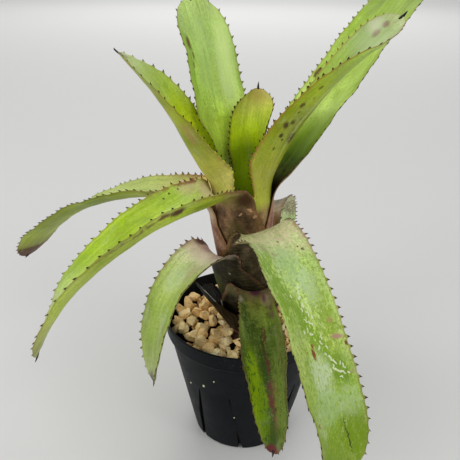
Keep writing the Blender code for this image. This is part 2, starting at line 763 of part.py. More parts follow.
def build_leaves():
    green = finish_material("leaf_green", (0.36, 0.50, 0.16), 0.45)
    for name, leaf in LEAVES.items():
        add_object(name, leaf_mesh(name, leaf), green)


def old_sheath_mesh(name, sheath):
    """A curved sheet round the stem's foot, torn along its top."""
    rng = random.Random(sheath.seed)
    build = LeafMesh()
    start = layer_start(sheath.layer)
    full = sheath.top * MM - start
    grid = []
    for column in range(OLD_SHEATH_COLUMNS + 1):
        across = 2.0 * column / OLD_SHEATH_COLUMNS - 1.0
        angle = math.radians(sheath.azimuth + sheath.wrap * across)
        out = Vector((math.cos(angle), math.sin(angle), 0.0))
        reach = full * (1.0 - OLD_SHEATH_SHOULDER * across ** 4) * (1.0 - OLD_SHEATH_TEAR * rng.random())
        line = []
        for index in range(OLD_SHEATH_ROWS + 1):
            height = start + reach * index / OLD_SHEATH_ROWS
            flare = sheath.flare * MM * ((height - start) / full) ** OLD_SHEATH_BEND
            middle = stem_axis(height) + out * (sheath_radius(sheath.layer, height) + flare)
            line.append(len(build.points))
            build.points.append(middle - out * SHEATH_THICKNESS / 2)
            build.points.append(middle + out * SHEATH_THICKNESS / 2)
        grid.append(line)
    for left, right in zip(grid, grid[1:]):
        for index in range(OLD_SHEATH_ROWS):
            build.skin(left[index], right[index], right[index + 1])
            build.skin(left[index], right[index + 1], left[index + 1])
        build.wall(left[0], right[0])
        build.wall(right[-1], left[-1])
    for index in range(OLD_SHEATH_ROWS):
        build.wall(grid[0][index + 1], grid[0][index])
        build.wall(grid[-1][index], grid[-1][index + 1])
    return mesh_from(name, build.points, build.faces, 60.0)


def build_old_sheaths():
    brown = finish_material("dry_sheath", (0.16, 0.09, 0.07), 0.6)
    for name, sheath in OLD_SHEATHS.items():
        add_object(name, old_sheath_mesh(name, sheath), brown)


clear_scene()
build_pot()
build_gravel()
build_core()
build_leaves()
build_old_sheaths()
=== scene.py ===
import math
import random
from dataclasses import dataclass, field

import bmesh
import bpy
import numpy as np
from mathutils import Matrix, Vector, noise


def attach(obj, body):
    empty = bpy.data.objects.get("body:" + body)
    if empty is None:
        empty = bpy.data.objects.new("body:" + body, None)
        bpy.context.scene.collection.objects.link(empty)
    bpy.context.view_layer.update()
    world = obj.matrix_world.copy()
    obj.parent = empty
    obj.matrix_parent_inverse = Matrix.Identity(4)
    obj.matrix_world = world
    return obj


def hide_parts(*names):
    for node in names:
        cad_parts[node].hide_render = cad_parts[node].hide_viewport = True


# A potted bromeliad: toothed strap leaves in a vase, scurfy sheaths, pale gravel and a black slit pot.
# Lengths are in millimetres and are turned into metres by MM where a mesh, light or camera is made.

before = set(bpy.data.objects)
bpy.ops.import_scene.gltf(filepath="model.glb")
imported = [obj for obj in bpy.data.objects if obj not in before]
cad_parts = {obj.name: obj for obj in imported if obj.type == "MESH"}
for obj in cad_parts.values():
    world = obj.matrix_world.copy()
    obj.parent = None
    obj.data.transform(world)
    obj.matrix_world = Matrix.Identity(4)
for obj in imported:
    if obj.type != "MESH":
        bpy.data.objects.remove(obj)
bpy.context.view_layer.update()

MM = 0.001
BODY = "root"


# Sizes repeated from the part's source, in millimetres

POT_RIM_RADIUS = 52.5
POT_HEIGHT = 91.0
POT_WALL = 1.5
POT_BAND_DEPTH = 12.0
POT_BAND_STEP = 2.0
POT_FOOT_RADIUS = 33.0
POT_BASE_PLATE = 2.5
LOBES = 4
LOBE_AZIMUTH = 244.0
LOBE_HALF_TOP = 14.0
LOBE_HALF_FOOT = 25.0
LOBE_LIFT = 1.2
CUT_RADIUS = 26.0
SLIT_TOP = 52.0
SLIT_WIDTH_TOP = 0.7
SLIT_WIDTH_FOOT = 3.0

GRAVEL_LEVEL = 84.0

STEM_FOOT = np.array((5.0, -8.0, 86.0))
STEM_CROWN = np.array((-2.0, -2.0, 180.0))
SHEATH_PITCH = 1.7
SHEATH_THICKNESS = 0.9
FUNNEL_MOUTH = 14.0
FUNNEL_CLOSING = 20.0
FUNNEL_HEIGHT = 38.0
LAYER_RISE = 5.2
LOWEST_LAYER = 10
OLD_SHEATH_DEPTH = 1.5
OLD_SHEATH_BEND = 1.6
OLD_SHEATH_COLUMNS = 14
OLD_SHEATH_TEAR = 0.3
OLD_SHEATH_SHOULDER = 0.5
BLADE_THICKNESS = 1.8
END_SPINE = 4.0
DROOP_MIDDLE = 37.0
DROOP_REACH = 34.0
TUCK_MIDDLE = 20.0
TUCK_REACH = 20.0


# Fineness of the leaves

SHEATH_STEP = 2.0           # between cross-sections of a sheath
BLADE_STEP = 0.95           # between cross-sections of a blade
TIP_STEP = 0.4              # the same where the outline closes
TIP_FROM = 0.92             # share of the blade where the finer steps start
LAST_SHARE = 0.9992         # the last cross-section, as a share of the blade
WALK_STEP = 0.25
COLUMNS = 34                # strips across a leaf, on each face
MARGIN_THICKNESS = 0.42
MARGIN_ROUND = 0.22         # how far the rounded margin stands out of the two faces
THINNING = 2.5              # the power by which a leaf thins from its middle line to its margins
WAVE_LENGTHS = (46.0, 23.0, 11.0)
WAVE_GROWS_OVER = 25.0      # from the fold

# Teeth

TOOTH_GAP_AT_FOLD = 2.7
TOOTH_GAP = 5.0
TOOTH_GAP_GROWS_OVER = 38.0
TOOTH_LENGTH = 1.6
TOOTH_HALF_BASE = 0.95
TOOTH_HALF_THICKNESS = 0.34
TOOTH_HOOK = 0.55           # how far the point leans towards the leaf's tip, as a share of the length
TOOTH_RINGS = (-0.4, 0.0, 0.35, 0.7)
TOOTH_SIDES = 6
SCALLOP_DEPTH = 0.55        # how far the margin draws in between two teeth


FIRST_LEAF_SEED = 11
LEAF_SHIFT = 7.0            # how far apart the leaves lie in the noise of their skins


@dataclass
class Leaf:
    """One leaf, as the part's source has it: a sheath round the stem, then a blade that folds off it."""
    layer: int
    azimuth: float
    swing: float
    crease: float
    fold: float
    length: float
    rise: float
    middle: float
    end: float
    width: float
    neck: float
    widest: float
    bluntness: float
    gutter: float
    gutter_end: float
    roll: float
    roll_end: float
    wrap: float = 100.0
    narrowing: float = 0.55
    droop: float = 0.0
    tuck: float = 0.0
    wave: float = 0.5           # how far the margins wave, mm
    tooth_gap: float = TOOTH_GAP

    @property
    def seed(self):
        return FIRST_LEAF_SEED + self.layer


LEAVES = {
    "heart_leaf": Leaf(0, 65, 20, 184, 15, 35, 94, 72, 71, 32, 1.1, 0.36, 2.1, 92, 58, -4, 25,
        wave=0.2, tooth_gap=2.9),
    "top_leaf": Leaf(1, 130, 3, 196, 20, 71, 64, 68, 60, 44, 0.92, 0.42, 2.7, 25, 33, 9, -18),
    "upper_right_leaf": Leaf(2, 345, 29, 179, 14, 103, 70, 52, 43, 39, 1.15, 0.47, 3.7, 88, 27, -7, 21,
        tooth_gap=4.2),
    "top_right_leaf": Leaf(3, 33, 0, 172, 12, 157, 42, 49, 38, 49, 0.94, 0.75, 3, 50, 12, -5, -6),
    "upper_left_leaf": Leaf(4, 194, -27, 176, 12, 83, 58, 61, 33, 45, 1.03, 0.25, 1.6, 92, 22, -7, 5),
    "long_left_leaf": Leaf(5, 232, -29, 172, 12, 132, 4, -20, -72, 46, 0.74, 0.25, 3.2, 64, 26, 22, 20),
    "far_left_leaf": Leaf(6, 162, -5, 160, 12, 162, 4, -26, -52, 38, 1.07, 0.7, 3.4, 59, 8, 6, 11),
    "back_right_leaf": Leaf(7, 75, 5, 141, 14, 115, 8, -40, -75, 36, 0.95, 0.5, 2.6, 45, 25, 0, 0),
    "big_right_leaf": Leaf(8, 278, 47, 149, 20, 153, 40, -43, -70, 36, 0.93, 0.75, 3.6, 37, 39, -14, 17,
        narrowing=0.38, droop=15, tuck=0.45),
    "low_left_leaf": Leaf(9, 227, 1, 138, 12, 87, 5, -59, -87, 30, 1.15, 0.58, 1.9, 50, 31, 14, 20,
        narrowing=0.32),
    "low_front_leaf": Leaf(10, 274, 6, 118, 12, 101, -2, -17, -102, 26, 0.77, 0.51, 1.7, 45, 61, 21, 31,
        wrap=85),
}


@dataclass
class OldSheath:
    """The dry sheath of a leaf whose blade is gone."""
    layer: int
    azimuth: float
    wrap: float
    top: float
    flare: float
    seed: int


OLD_SHEATHS = {
    "old_sheath_inner": OldSheath(layer=11, azimuth=240, wrap=80, top=112, flare=1.0, seed=3),
    "old_sheath_outer": OldSheath(layer=12, azimuth=200, wrap=58, top=121, flare=9.0, seed=5),
}


# Camera, floor and light

CAMERA_PLACE = (-9.975, -307.53, 295.79)
CAMERA_LOOKS_DOWN = 25.5        # degrees under level
CAMERA_LEAN = 0.8               # degrees about its own line of sight
CAMERA_SENSOR = 36.0
CAMERA_LENS = 43.04
CAMERA_SEES_FROM = 10.0
WORLD_LIGHT = {"Color": (0.985, 0.992, 1.0, 1.0), "Strength": 0.52}
FLOOR_REACH = 9000.0
FLOOR_SIDES = 96
FLOOR_FINISH = {"Base Color": (0.70, 0.695, 0.685, 1.0), "Roughness": 0.75, "Specular IOR Level": 0.25}
PLANT_MIDDLE = (0, 0, 120)

# Name, place, the point that it faces, width and power of each square soft light
LIGHTS = [
    ("backdrop_light", (0, 3500, 2500), (0, 2000, 0), 3000, 49.0),
    ("far_backdrop_light", (0, 7500, 3000), (0, 6600, 0), 4200, 68.0),
    ("left_window", (-700, -800, 1100), PLANT_MIDDLE, 500, 3.1),
    ("right_window", (700, -800, 1100), PLANT_MIDDLE, 500, 3.6),
    ("side_light", (-1500, -300, 700), PLANT_MIDDLE, 800, 5.5),
]


def placed(name, data):
    """A new object in the scene that holds a mesh, a light or a camera."""
    item = bpy.data.objects.new(name, data)
    bpy.context.scene.collection.objects.link(item)
    return item


def make_camera():
    camera = placed("photo_camera", bpy.data.cameras.new("photo_camera"))
    camera.data.lens = CAMERA_LENS
    camera.data.sensor_width = CAMERA_SENSOR
    camera.data.clip_start = CAMERA_SEES_FROM * MM
    camera.location = Vector(CAMERA_PLACE) * MM
    camera.rotation_euler = (math.radians(90.0 - CAMERA_LOOKS_DOWN), 0.0, 0.0)
    camera.rotation_euler.rotate_axis("Z", math.radians(CAMERA_LEAN))
    bpy.context.scene.camera = camera


def make_studio():
    scene = bpy.context.scene
    scene.view_settings.view_transform = "Standard"
    scene.world = bpy.data.worlds.new("studio")
    scene.world.use_nodes = True
    feed(scene.world.node_tree.nodes["Background"], WORLD_LIGHT)
    for name, place, faces_point, width, power in LIGHTS:
        data = bpy.data.lights.new(name, "AREA")
        data.shape = "SQUARE"
        data.size = width * MM
        data.energy = power
        light = placed(name, data)
        light.location = Vector(place) * MM
        light.rotation_mode = "QUATERNION"
        aim = Vector(faces_point) - Vector(place)
        light.rotation_quaternion = aim.normalized().to_track_quat("-Z", "Y")


def make_floor():
    work = bmesh.new()
    bmesh.ops.create_circle(work, cap_ends=True, radius=FLOOR_REACH * MM, segments=FLOOR_SIDES)
    mesh = bpy.data.meshes.new("floor")
    work.to_mesh(mesh)
    work.free()
    material, shader = new_material("pale_floor")
    feed(shader, FLOOR_FINISH)
    mesh.materials.append(material)
    placed("floor", mesh)


# Colours, as they look, from 0 to 255

LIGHT_LEVEL = 0.86              # how bright a white leaf looks here, where the photo's white is 1


def tone(red, green, blue):
    """The linear base colour of a surface that has this look under these lights."""
    linear = []
    for part in (red, green, blue):
        share = part / 255.0
        value = share / 12.92 if share < 0.04045 else ((share + 0.055) / 1.055) ** 2.4
        linear.append(min(1.0, value / LIGHT_LEVEL))
    return (*linear, 1.0)


BLACK_BROWN = (30, 18, 12)
RED_BROWN = (112, 56, 34)
SPOT_BROWN = (62, 38, 20)
PURPLE_STAIN = (88, 62, 52)
DRY_TAN = (176, 150, 110)
# Painted shade: the near-black of the vase's deep inside, put on the inner face of the sheaths and the
# throats of the blades.
PAINTED_THROAT_SHADE = (28, 14, 4)
PALE_BLOOM = (196, 206, 152)
BARE_GREEN = (116, 150, 14)
SILVER_GREEN = (186, 202, 146)
DUST_GREY = (120, 122, 122)

# The patches of a sheath's skin, from the darkest to the palest
SHEATH_PLAIN = [(0.3, (48, 36, 20)), (0.48, (86, 66, 48)), (0.62, (120, 96, 72)), (0.78, (90, 84, 42))]
SHEATH_COLUMN = [(0.3, (62, 40, 24)), (0.45, (98, 72, 50)), (0.6, (146, 112, 82)), (0.75, (100, 98, 44))]
SHEATH_MAROON = [(0.3, (92, 58, 46)), (0.46, (148, 108, 92)), (0.6, (186, 148, 126)), (0.78, (124, 98, 64))]
# The olive and black palettes are the low sheaths' own dark brown, darkened further with painted shade where
# they lie under the leaves.
SHADED_SHEATH_OLIVE = [(0.3, (30, 25, 10)), (0.48, (56, 49, 27)), (0.62, (92, 78, 56)), (0.78, (120, 98, 78))]
SHADED_SHEATH_BLACK = [(0.3, (18, 15, 5)), (0.5, (36, 33, 14)), (0.66, (54, 54, 22)), (0.82, (78, 72, 46))]
SHEATH_TAN = [(0.3, (108, 80, 50)), (0.5, (160, 130, 86)), (0.7, (188, 158, 104))]


# Node wiring

def feed(node, values):
    """Sets a node's inputs: a signal is linked, and a number or colour is set on the socket itself."""
    for key, value in values.items():
        if isinstance(value, Signal):
            node.id_data.links.new(value.socket, node.inputs[key])
        else:
            node.inputs[key].default_value = value


class Signal:
    """What leaves a node, and the steps that a finish can take from there. Each step adds its own node."""

    def __init__(self, socket):
        self.socket = socket

    def step(self, kind, values, output=0, **settings):
        """Adds a node beside this one, and gives one of its outputs."""
        node = self.socket.id_data.nodes.new(kind)
        for name, value in settings.items():
            setattr(node, name, value)
        feed(node, values)
        return Signal(node.outputs[output])

    def outputs(self):
        return [Signal(socket) for socket in self.socket.node.outputs]

    def maths(self, operation, other=0.0, clamp=False):
        return self.step("ShaderNodeMath", {0: self, 1: other}, operation=operation, use_clamp=clamp)

    def __add__(self, other):
        return self.maths("ADD", other)

    def __sub__(self, other):
        return self.maths("SUBTRACT", other)

    def __rsub__(self, other):
        return self.step("ShaderNodeMath", {0: other, 1: self}, operation="SUBTRACT")

    def __mul__(self, other):
        return self.maths("MULTIPLY", other)

    def stretched(self, x, y, z=1.0):
        return self.step("ShaderNodeVectorMath", {0: self, 1: (x, y, z)}, operation="MULTIPLY")

    def moved(self, by):
        return self.step("ShaderNodeVectorMath", {0: self, 1: by}, operation="ADD")

    def parts(self):
        return self.step("ShaderNodeSeparateXYZ", {0: self}).outputs()

    def joined(self, second, third):
        """A vector that this value is the first part of."""
        return self.step("ShaderNodeCombineXYZ", {0: self, 1: second, 2: third})

    def between(self, low, high):
        """0 under low and 1 over high, with a soft step, or the other way round where low is over high."""
        values = {"Value": self, "From Min": low, "From Max": high}
        return self.step("ShaderNodeMapRange", values, interpolation_type="SMOOTHSTEP")

    def ranged(self, low, high, to_low, to_high):
        """A straight change from one range to another, held at its ends."""
        values = {"Value": self, "From Min": low, "From Max": high, "To Min": to_low, "To Max": to_high}
        return self.step("ShaderNodeMapRange", values)

    def cloud(self, scale, detail=3.0, roughness=0.55, distortion=0.0):
        """Cloudy noise, 0 to 1, at this place. A scale of two or three numbers stretches it."""
        if isinstance(scale, tuple):
            return self.stretched(*scale).cloud(1.0, detail, roughness, distortion)
        values = {"Vector": self, "Scale": scale, "Detail": detail, "Roughness": roughness,
                  "Distortion": distortion}
        return self.step("ShaderNodeTexNoise", values, "Fac")

    def cells(self, scale):
        """How far this place is from the nearest of many scattered points."""
        return self.step("ShaderNodeTexVoronoi", {"Vector": self, "Scale": scale}, "Distance")

    def ramp(self, stops):
        """The colour for this value, from a list of values and their colours."""
        made = self.step("ShaderNodeValToRGB", {0: self})
        elements = made.socket.node.color_ramp.elements
        elements.remove(elements[1])
        elements[0].position = stops[0][0]
        elements[0].color = tone(*stops[0][1])
        for position, colour in stops[1:]:
            elements.new(position).color = tone(*colour)
        return made

    def mix(self, share, first, second, blend="MIX"):
        values = {0: share, 6: first, 7: second}
        return self.step("ShaderNodeMix", values, 2, data_type="RGBA", blend_type=blend, clamp_factor=True)

    def tinted(self, mask, colour):
        """This colour, with another over it where the mask is 1."""
        return self.mix(mask, self, tone(*colour))

    def shaded(self, level):
        """This colour, darker where the level is under 1 and lighter where it is over 1."""
        return self.mix(1.0, self, level.joined(level, level), "MULTIPLY")

    def bumped(self, distance, strength):
        """The normal of a surface with this height, in units of distance, mm."""
        return self.step("ShaderNodeBump", {"Height": self, "Distance": distance * MM, "Strength": strength})

    def effect(self, name, **values):
        """Places a shared effect. An input's name is written with _ for its spaces."""
        named = {label.replace("_", " ").capitalize(): value for label, value in values.items()}
        return self.step("ShaderNodeGroup", {"Place": self, **named}, node_tree=EFFECTS[name]).outputs()


def new_material(name):
    """A material and its Principled shader."""
    material = bpy.data.materials.new(name)
    material.use_nodes = True
    return material, material.node_tree.nodes["Principled BSDF"]


def attribute(material, name, output="Vector"):
    node = material.node_tree.nodes.new("ShaderNodeAttribute")
    node.attribute_name = name
    return Signal(node.outputs[output])


def millimetres(material):
    """The place in the piece's own frame, in millimetres."""
    node = material.node_tree.nodes.new("ShaderNodeTexCoord")
    return Signal(node.outputs["Object"]).stretched(1.0 / MM, 1.0 / MM, 1.0 / MM)


# Shared effects. The place on a leaf holds millimetres across and along.

def veins(place):
    """Fine and broad lines along a leaf."""
    shaken = place.cloud((0.05, 0.05), 2.0)
    across, along, leaf = place.parts()
    wandering = across + shaken * 2.0
    fine = wandering.joined(along * 0.035, leaf).cloud(1.5, 4.0, 0.6)
    broad = (wandering * 0.32).joined(along * 0.014, leaf).cloud(1.0, 3.0, 0.5)
    return fine, broad


def scurf(place, amount):
    """The thin pale scales of a leaf, which lie in faint bands across it."""
    bands = place.cloud((0.16, 0.95), 4.0, 0.65).between(0.36, 0.72)
    specks = place.cloud((2.6, 2.6), 3.0, 0.7).between(0.3, 0.68)
    drifts = place.cloud((0.07, 0.05)).between(0.3, 0.7)
    height = bands * specks
    return (height * drifts).maths("MULTIPLY", amount, clamp=True), height


def mottle(place, contrast):
    """Slow lighter and darker patches."""
    patches = place.cloud((0.11, 0.045), 4.0, 0.6, 0.4)
    return (patches - 0.5) * contrast + 1.0, patches


def stains(place, size, cover, seed):
    """Blotches with ragged edges that cover a share of the surface."""
    scale = size.step("ShaderNodeMath", {0: 1.0, 1: size}, operation="DIVIDE")
    field = place.moved(seed.joined(seed, seed)).cloud(scale, 5.0, 0.62, 0.6)
    low = 0.72 - cover * 0.4
    return [field.between(low, low + 0.1)]


def oval_mark(place, across, along, half_width, half_length, turn, softness):
    """One oval mark."""
    here_across, here_along, _ = place.parts()
    x = here_across - across
    y = here_along - along
    cosine = turn.maths("COSINE")
    sine = turn.maths("SINE")
    width_share = (x * cosine + y * sine).maths("DIVIDE", half_width).maths("POWER", 2.0)
    length_share = (y * cosine - x * sine).maths("DIVIDE", half_length).maths("POWER", 2.0)
    reach = (width_share + length_share).maths("SQRT")
    return [reach.between(softness + 1.0, 1.0 - softness)]


def new_effect(name, wire, outputs, **inputs):
    """A shared node group. Wire gets a signal for each input and gives one for each output."""
    tree = bpy.data.node_groups.new(name, "ShaderNodeTree")
    tree.interface.new_socket("Place", in_out="INPUT", socket_type="NodeSocketVector")
    for label, start in inputs.items():
        label = label.replace("_", " ").capitalize()
        socket = tree.interface.new_socket(label, in_out="INPUT", socket_type="NodeSocketFloat")
        socket.default_value = start
    for label in outputs:
        tree.interface.new_socket(label, in_out="OUTPUT", socket_type="NodeSocketFloat")
    given = Signal(tree.nodes.new("NodeGroupInput").outputs[0]).outputs()[:1 + len(inputs)]
    feed(tree.nodes.new("NodeGroupOutput"), dict(zip(outputs, wire(*given))))
    return tree


EFFECTS = {
    "veins": new_effect("leaf veins", veins, ["Fine", "Broad"]),
    "scurf": new_effect("leaf scurf", scurf, ["Mask", "Height"], amount=0.5),
    "mottle": new_effect("leaf mottle", mottle, ["Brightness", "Patch"], contrast=0.2),
    "stains": new_effect("stains", stains, ["Mask"], size=8.0, cover=0.2, seed=0.0),
    "mark": new_effect("leaf mark", oval_mark, ["Mask"], across=0.0, along=0.0, half_width=1.0,
                       half_length=1.0, turn=0.0, softness=0.3),
}


# Shapes of the leaves

def eased(share):
    """0 to 1 with a soft start and a soft stop, for a number or an array."""
    share = np.clip(share, 0.0, 1.0)
    return share * share * (3.0 - 2.0 * share)


def through_three(share, start, middle, end):
    """A smooth value that is start at 0, middle at 0.5 and end at 1."""
    return (start * (1 - share) * (1 - 2 * share)
            + 4 * middle * share * (1 - share)
            + end * share * (2 * share - 1))


def stem_axis(height):
    share = (height - STEM_FOOT[2]) / (STEM_CROWN[2] - STEM_FOOT[2])
    return STEM_FOOT + (STEM_CROWN - STEM_FOOT) * share


def sheath_radius(layer, height):
    closing = FUNNEL_CLOSING * math.exp(-(height - STEM_FOOT[2]) / FUNNEL_HEIGHT)
    return FUNNEL_MOUTH - closing + SHEATH_PITCH * layer


def layer_start(layer):
    return STEM_FOOT[2] + max(LAYER_RISE * (LOWEST_LAYER - layer), -OLD_SHEATH_DEPTH)


def section_frame(azimuth, slope, roll):
    """Directions along, across and towards the hollow side, for a heading given in radians."""
    level = math.cos(slope)
    along = np.array((math.cos(azimuth) * level, math.sin(azimuth) * level, math.sin(slope)))
    side = np.array((-math.sin(azimuth), math.cos(azimuth), 0.0))
    inner = np.cross(along, side)
    cosine = math.cos(roll)
    sine = math.sin(roll)
    return along, side * cosine + inner * sine, inner * cosine - side * sine


def blade_width(leaf, share):
    if share < leaf.widest:
        narrowing = (leaf.widest - share) / leaf.widest
        profile = 1.0 - (1.0 - leaf.neck) * narrowing ** 2
    else:
        beyond = (share - leaf.widest) / (1.0 - leaf.widest)
        profile = max(0.0, 1.0 - beyond ** leaf.bluntness) ** 0.6
    return leaf.width * profile


class Ribbon:
    """The cross-sections of one leaf's middle surface from foot to tip, as arrays with a row for each."""

    def __init__(self, leaf):
        self.leaf = leaf
        self.azimuth = math.radians(leaf.azimuth)
        self.out = np.array((math.cos(self.azimuth), math.sin(self.azimuth), 0.0))
        self.rows = []
        self.walk_sheath()
        self.walk_blade()
        columns = list(zip(*self.rows))
        self.place, self.along, self.side, self.inner = (np.array(column) for column in columns[:4])
        self.half_width, self.half_angle, self.run, self.share = (np.array(column) for column in columns[4:])
        self.droop = leaf.droop * eased(1.0 - np.abs(self.run - DROOP_MIDDLE) / DROOP_REACH)
        self.tuck = leaf.tuck * eased(1.0 - np.abs(self.run - TUCK_MIDDLE) / TUCK_REACH)

    def walk_sheath(self):
        """Level arcs round the stem, which narrow towards the fold."""
        leaf = self.leaf
        start = layer_start(leaf.layer)
        count = math.ceil((leaf.crease - start) / SHEATH_STEP)
        directions = section_frame(self.azimuth, math.pi / 2, 0.0)
        for index in range(count + 1):
            share = index / count
            height = start + (leaf.crease - start) * share
            radius = sheath_radius(leaf.layer, height)
            half_angle = math.radians(leaf.wrap) * (1.0 - (1.0 - leaf.narrowing) * share ** 2)
            place = stem_axis(height) + self.out * radius
            self.rows.append((place, *directions, radius * half_angle, half_angle, height - leaf.crease, 0.0))

    def first_slope(self):
        """The slope of the sheath's middle line at the fold."""
        layer, low = self.leaf.layer, self.leaf.crease
        high = low + 1.0
        flare = sheath_radius(layer, high) - sheath_radius(layer, low)
        run = stem_axis(high) - stem_axis(low) + self.out * flare
        return math.asin(run[2] / np.linalg.norm(run))

    def marks(self):
        """Lengths from the crease at which the fold and the blade have a cross-section."""
        leaf = self.leaf
        fine_from = leaf.fold + leaf.length * TIP_FROM
        last = leaf.fold + leaf.length * LAST_SHARE
        coarse = np.linspace(0.0, fine_from, math.ceil(fine_from / BLADE_STEP) + 1)[1:]
        fine = np.linspace(fine_from, last, math.ceil((last - fine_from) / TIP_STEP) + 1)[1:]
        return [*coarse, *fine]

    def walk_blade(self):
        leaf = self.leaf
        place, _, _, _, sheath_half_width, sheath_half_angle, _, _ = self.rows[-1]
        first_slope = self.first_slope()
        walked = 0.0
        for mark in self.marks():
            while walked < mark - 1e-9:
                stride = min(WALK_STEP, mark - walked)
                walked += stride
                share = max(0.0, (walked - leaf.fold) / leaf.length)
                folded = eased(walked / leaf.fold)
                blade_slope = math.radians(through_three(share, leaf.rise, leaf.middle, leaf.end))
                azimuth = self.azimuth + math.radians(leaf.swing) * share ** 1.5
                heading, _, _ = section_frame(azimuth, first_slope * (1 - folded) + blade_slope * folded, 0.0)
                place = place + heading * stride
            roll = math.radians(through_three(share, 0.0, leaf.roll, leaf.roll_end)) * folded
            slope = math.pi / 2 * (1 - folded) + blade_slope * folded
            opened = eased(walked / (leaf.fold * 1.3))
            gutter = leaf.gutter + (leaf.gutter_end - leaf.gutter) * share
            half_angle = sheath_half_angle * (1 - opened) + math.radians(gutter) * opened
            half_width = sheath_half_width * (1 - opened) + blade_width(leaf, share) / 2 * opened
            directions = section_frame(azimuth, slope, roll)
            self.rows.append((place, *directions, half_width, half_angle, walked, share))

    def points(self, rows, across, lift):
        """Points at across, -1 to 1 from edge to edge, lifted towards the hollow side in millimetres."""
        half_angle = self.half_angle[rows]
        angle = across * half_angle
        bend = self.half_width[rows] / half_angle
        cosine = np.cos(angle)[..., None]
        sine = np.sin(angle)[..., None]
        side = self.side[rows]
        inner = self.inner[rows]
        normal = inner * cosine - side * sine
        drawn_in = 1.0 - self.tuck[rows] * np.maximum(0.0, -across)
        offset = side * ((bend * drawn_in)[..., None] * sine) + inner * (bend[..., None] * (1.0 - cosine))
        offset[..., 2] -= self.droop[rows] * ((1.0 - across) / 2) ** 2
        return self.place[rows] + offset + normal * lift[..., None]


def tooth_runs(leaf, hand):
    """Lengths from the crease at which one margin has a tooth, closest together at the fold."""
    rng = random.Random(leaf.seed * 2 + (hand > 0))
    run = leaf.fold * rng.uniform(0.25, 0.45)
    end = leaf.fold + leaf.length * 0.985
    runs = []
    while run < end:
        runs.append(run)
        wide = eased(run / TOOTH_GAP_GROWS_OVER)
        gap = TOOTH_GAP_AT_FOLD + (leaf.tooth_gap - TOOTH_GAP_AT_FOLD) * wide
        near_tip = eased((run - leaf.fold - leaf.length * 0.8) / (leaf.length * 0.2))
        run += gap * rng.uniform(0.82, 1.18) * (1.0 - 0.25 * near_tip)
    return np.array(runs)


def scallop(run, runs):
    """0 at each tooth and 1 halfway between two."""
    following = np.clip(np.searchsorted(runs, run), 1, len(runs) - 1)
    low = runs[following - 1]
    high = runs[following]
    share = np.clip((run - low) / (high - low), 0.0, 1.0)
    inside = (run > runs[0]) & (run < runs[-1])
    return np.where(inside, np.sin(math.pi * share) ** 0.7, 0.0)


def leaf_wave(leaf, run, across, share):
    """How far the blade stands out of its plain arc: long waves that grow towards the margins."""
    rng = random.Random(leaf.seed + 40)
    freedom = np.clip((run - leaf.fold) / WAVE_GROWS_OVER, 0.0, 1.0)
    freedom = freedom * np.clip((1.0 - share) / 0.08, 0.0, 1.0)
    wave = np.zeros_like(run * across)
    for length in WAVE_LENGTHS:
        start = rng.uniform(0.0, math.tau)
        skew = rng.uniform(-0.9, 0.9)
        wave += np.sin(math.tau * run / length + start + skew * across) * (length / WAVE_LENGTHS[0]) ** 0.8
    return leaf.wave * freedom * wave * (0.22 + 0.78 * across ** 2)


def mesh_object(name, points, faces, attributes, smooth_angle=50.0):
    """An object in metres from points in millimetres. Attributes hold a number or a vector for each point."""
    mesh = bpy.data.meshes.new(name)
    mesh.from_pydata((np.asarray(points) * MM).tolist(), [], [list(face) for face in faces])
    for label, values in attributes.items():
        values = np.asarray(values, np.float32)
        kind, field_name = ("FLOAT_VECTOR", "vector") if values.ndim == 2 else ("FLOAT", "value")
        mesh.attributes.new(label, kind, "POINT").data.foreach_set(field_name, values.ravel())
    work = bmesh.new()
    work.from_mesh(mesh)
    bmesh.ops.recalc_face_normals(work, faces=work.faces)
    work.to_mesh(mesh)
    work.free()
    mesh.shade_smooth()
    mesh.set_sharp_from_angle(angle=math.radians(smooth_angle))
    return placed(name, mesh)


def dress(piece, material, node):
    """Gives a piece its material and puts it in the place of a CAD node."""
    piece.data.materials.append(material)
    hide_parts(node)
    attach(piece, BODY)


class Pile:
    """Collects the points, faces and attributes of several closed shapes that become one mesh."""

    def __init__(self):
        self.points = []
        self.faces = []
        self.attributes = {}
        self.count = 0

    def add(self, points, faces, **attributes):
        self.points.append(np.asarray(points))
        self.faces.extend([tuple(corner + self.count for corner in face) for face in faces])
        for label, values in attributes.items():
            self.attributes.setdefault(label, []).append(np.asarray(values))
        self.count += len(points)

    def build(self, name, smooth_angle=50.0):
        joined = {label: np.concatenate(values) for label, values in self.attributes.items()}
        return mesh_object(name, np.concatenate(self.points), self.faces, joined, smooth_angle)


def tube_faces(rows, ring, closed_ends=True):
    """Quads round a tube of rings, with a flat cap at each end."""
    faces = []
    for row in range(rows - 1):
        first = row * ring
        for step in range(ring):
            following = (step + 1) % ring
            faces.append((first + step, first + following, first + ring + following, first + ring + step))
    if closed_ends:
        faces.append(tuple(range(ring)))
        faces.append(tuple(range((rows - 1) * ring, rows * ring)))
    return faces


def half_thickness(middle, across):
    """Half the thickness at across, -1 to 1, of a leaf whose middle line is this thick."""
    return (MARGIN_THICKNESS + (middle - MARGIN_THICKNESS) * (1.0 - np.abs(across) ** THINNING)) / 2


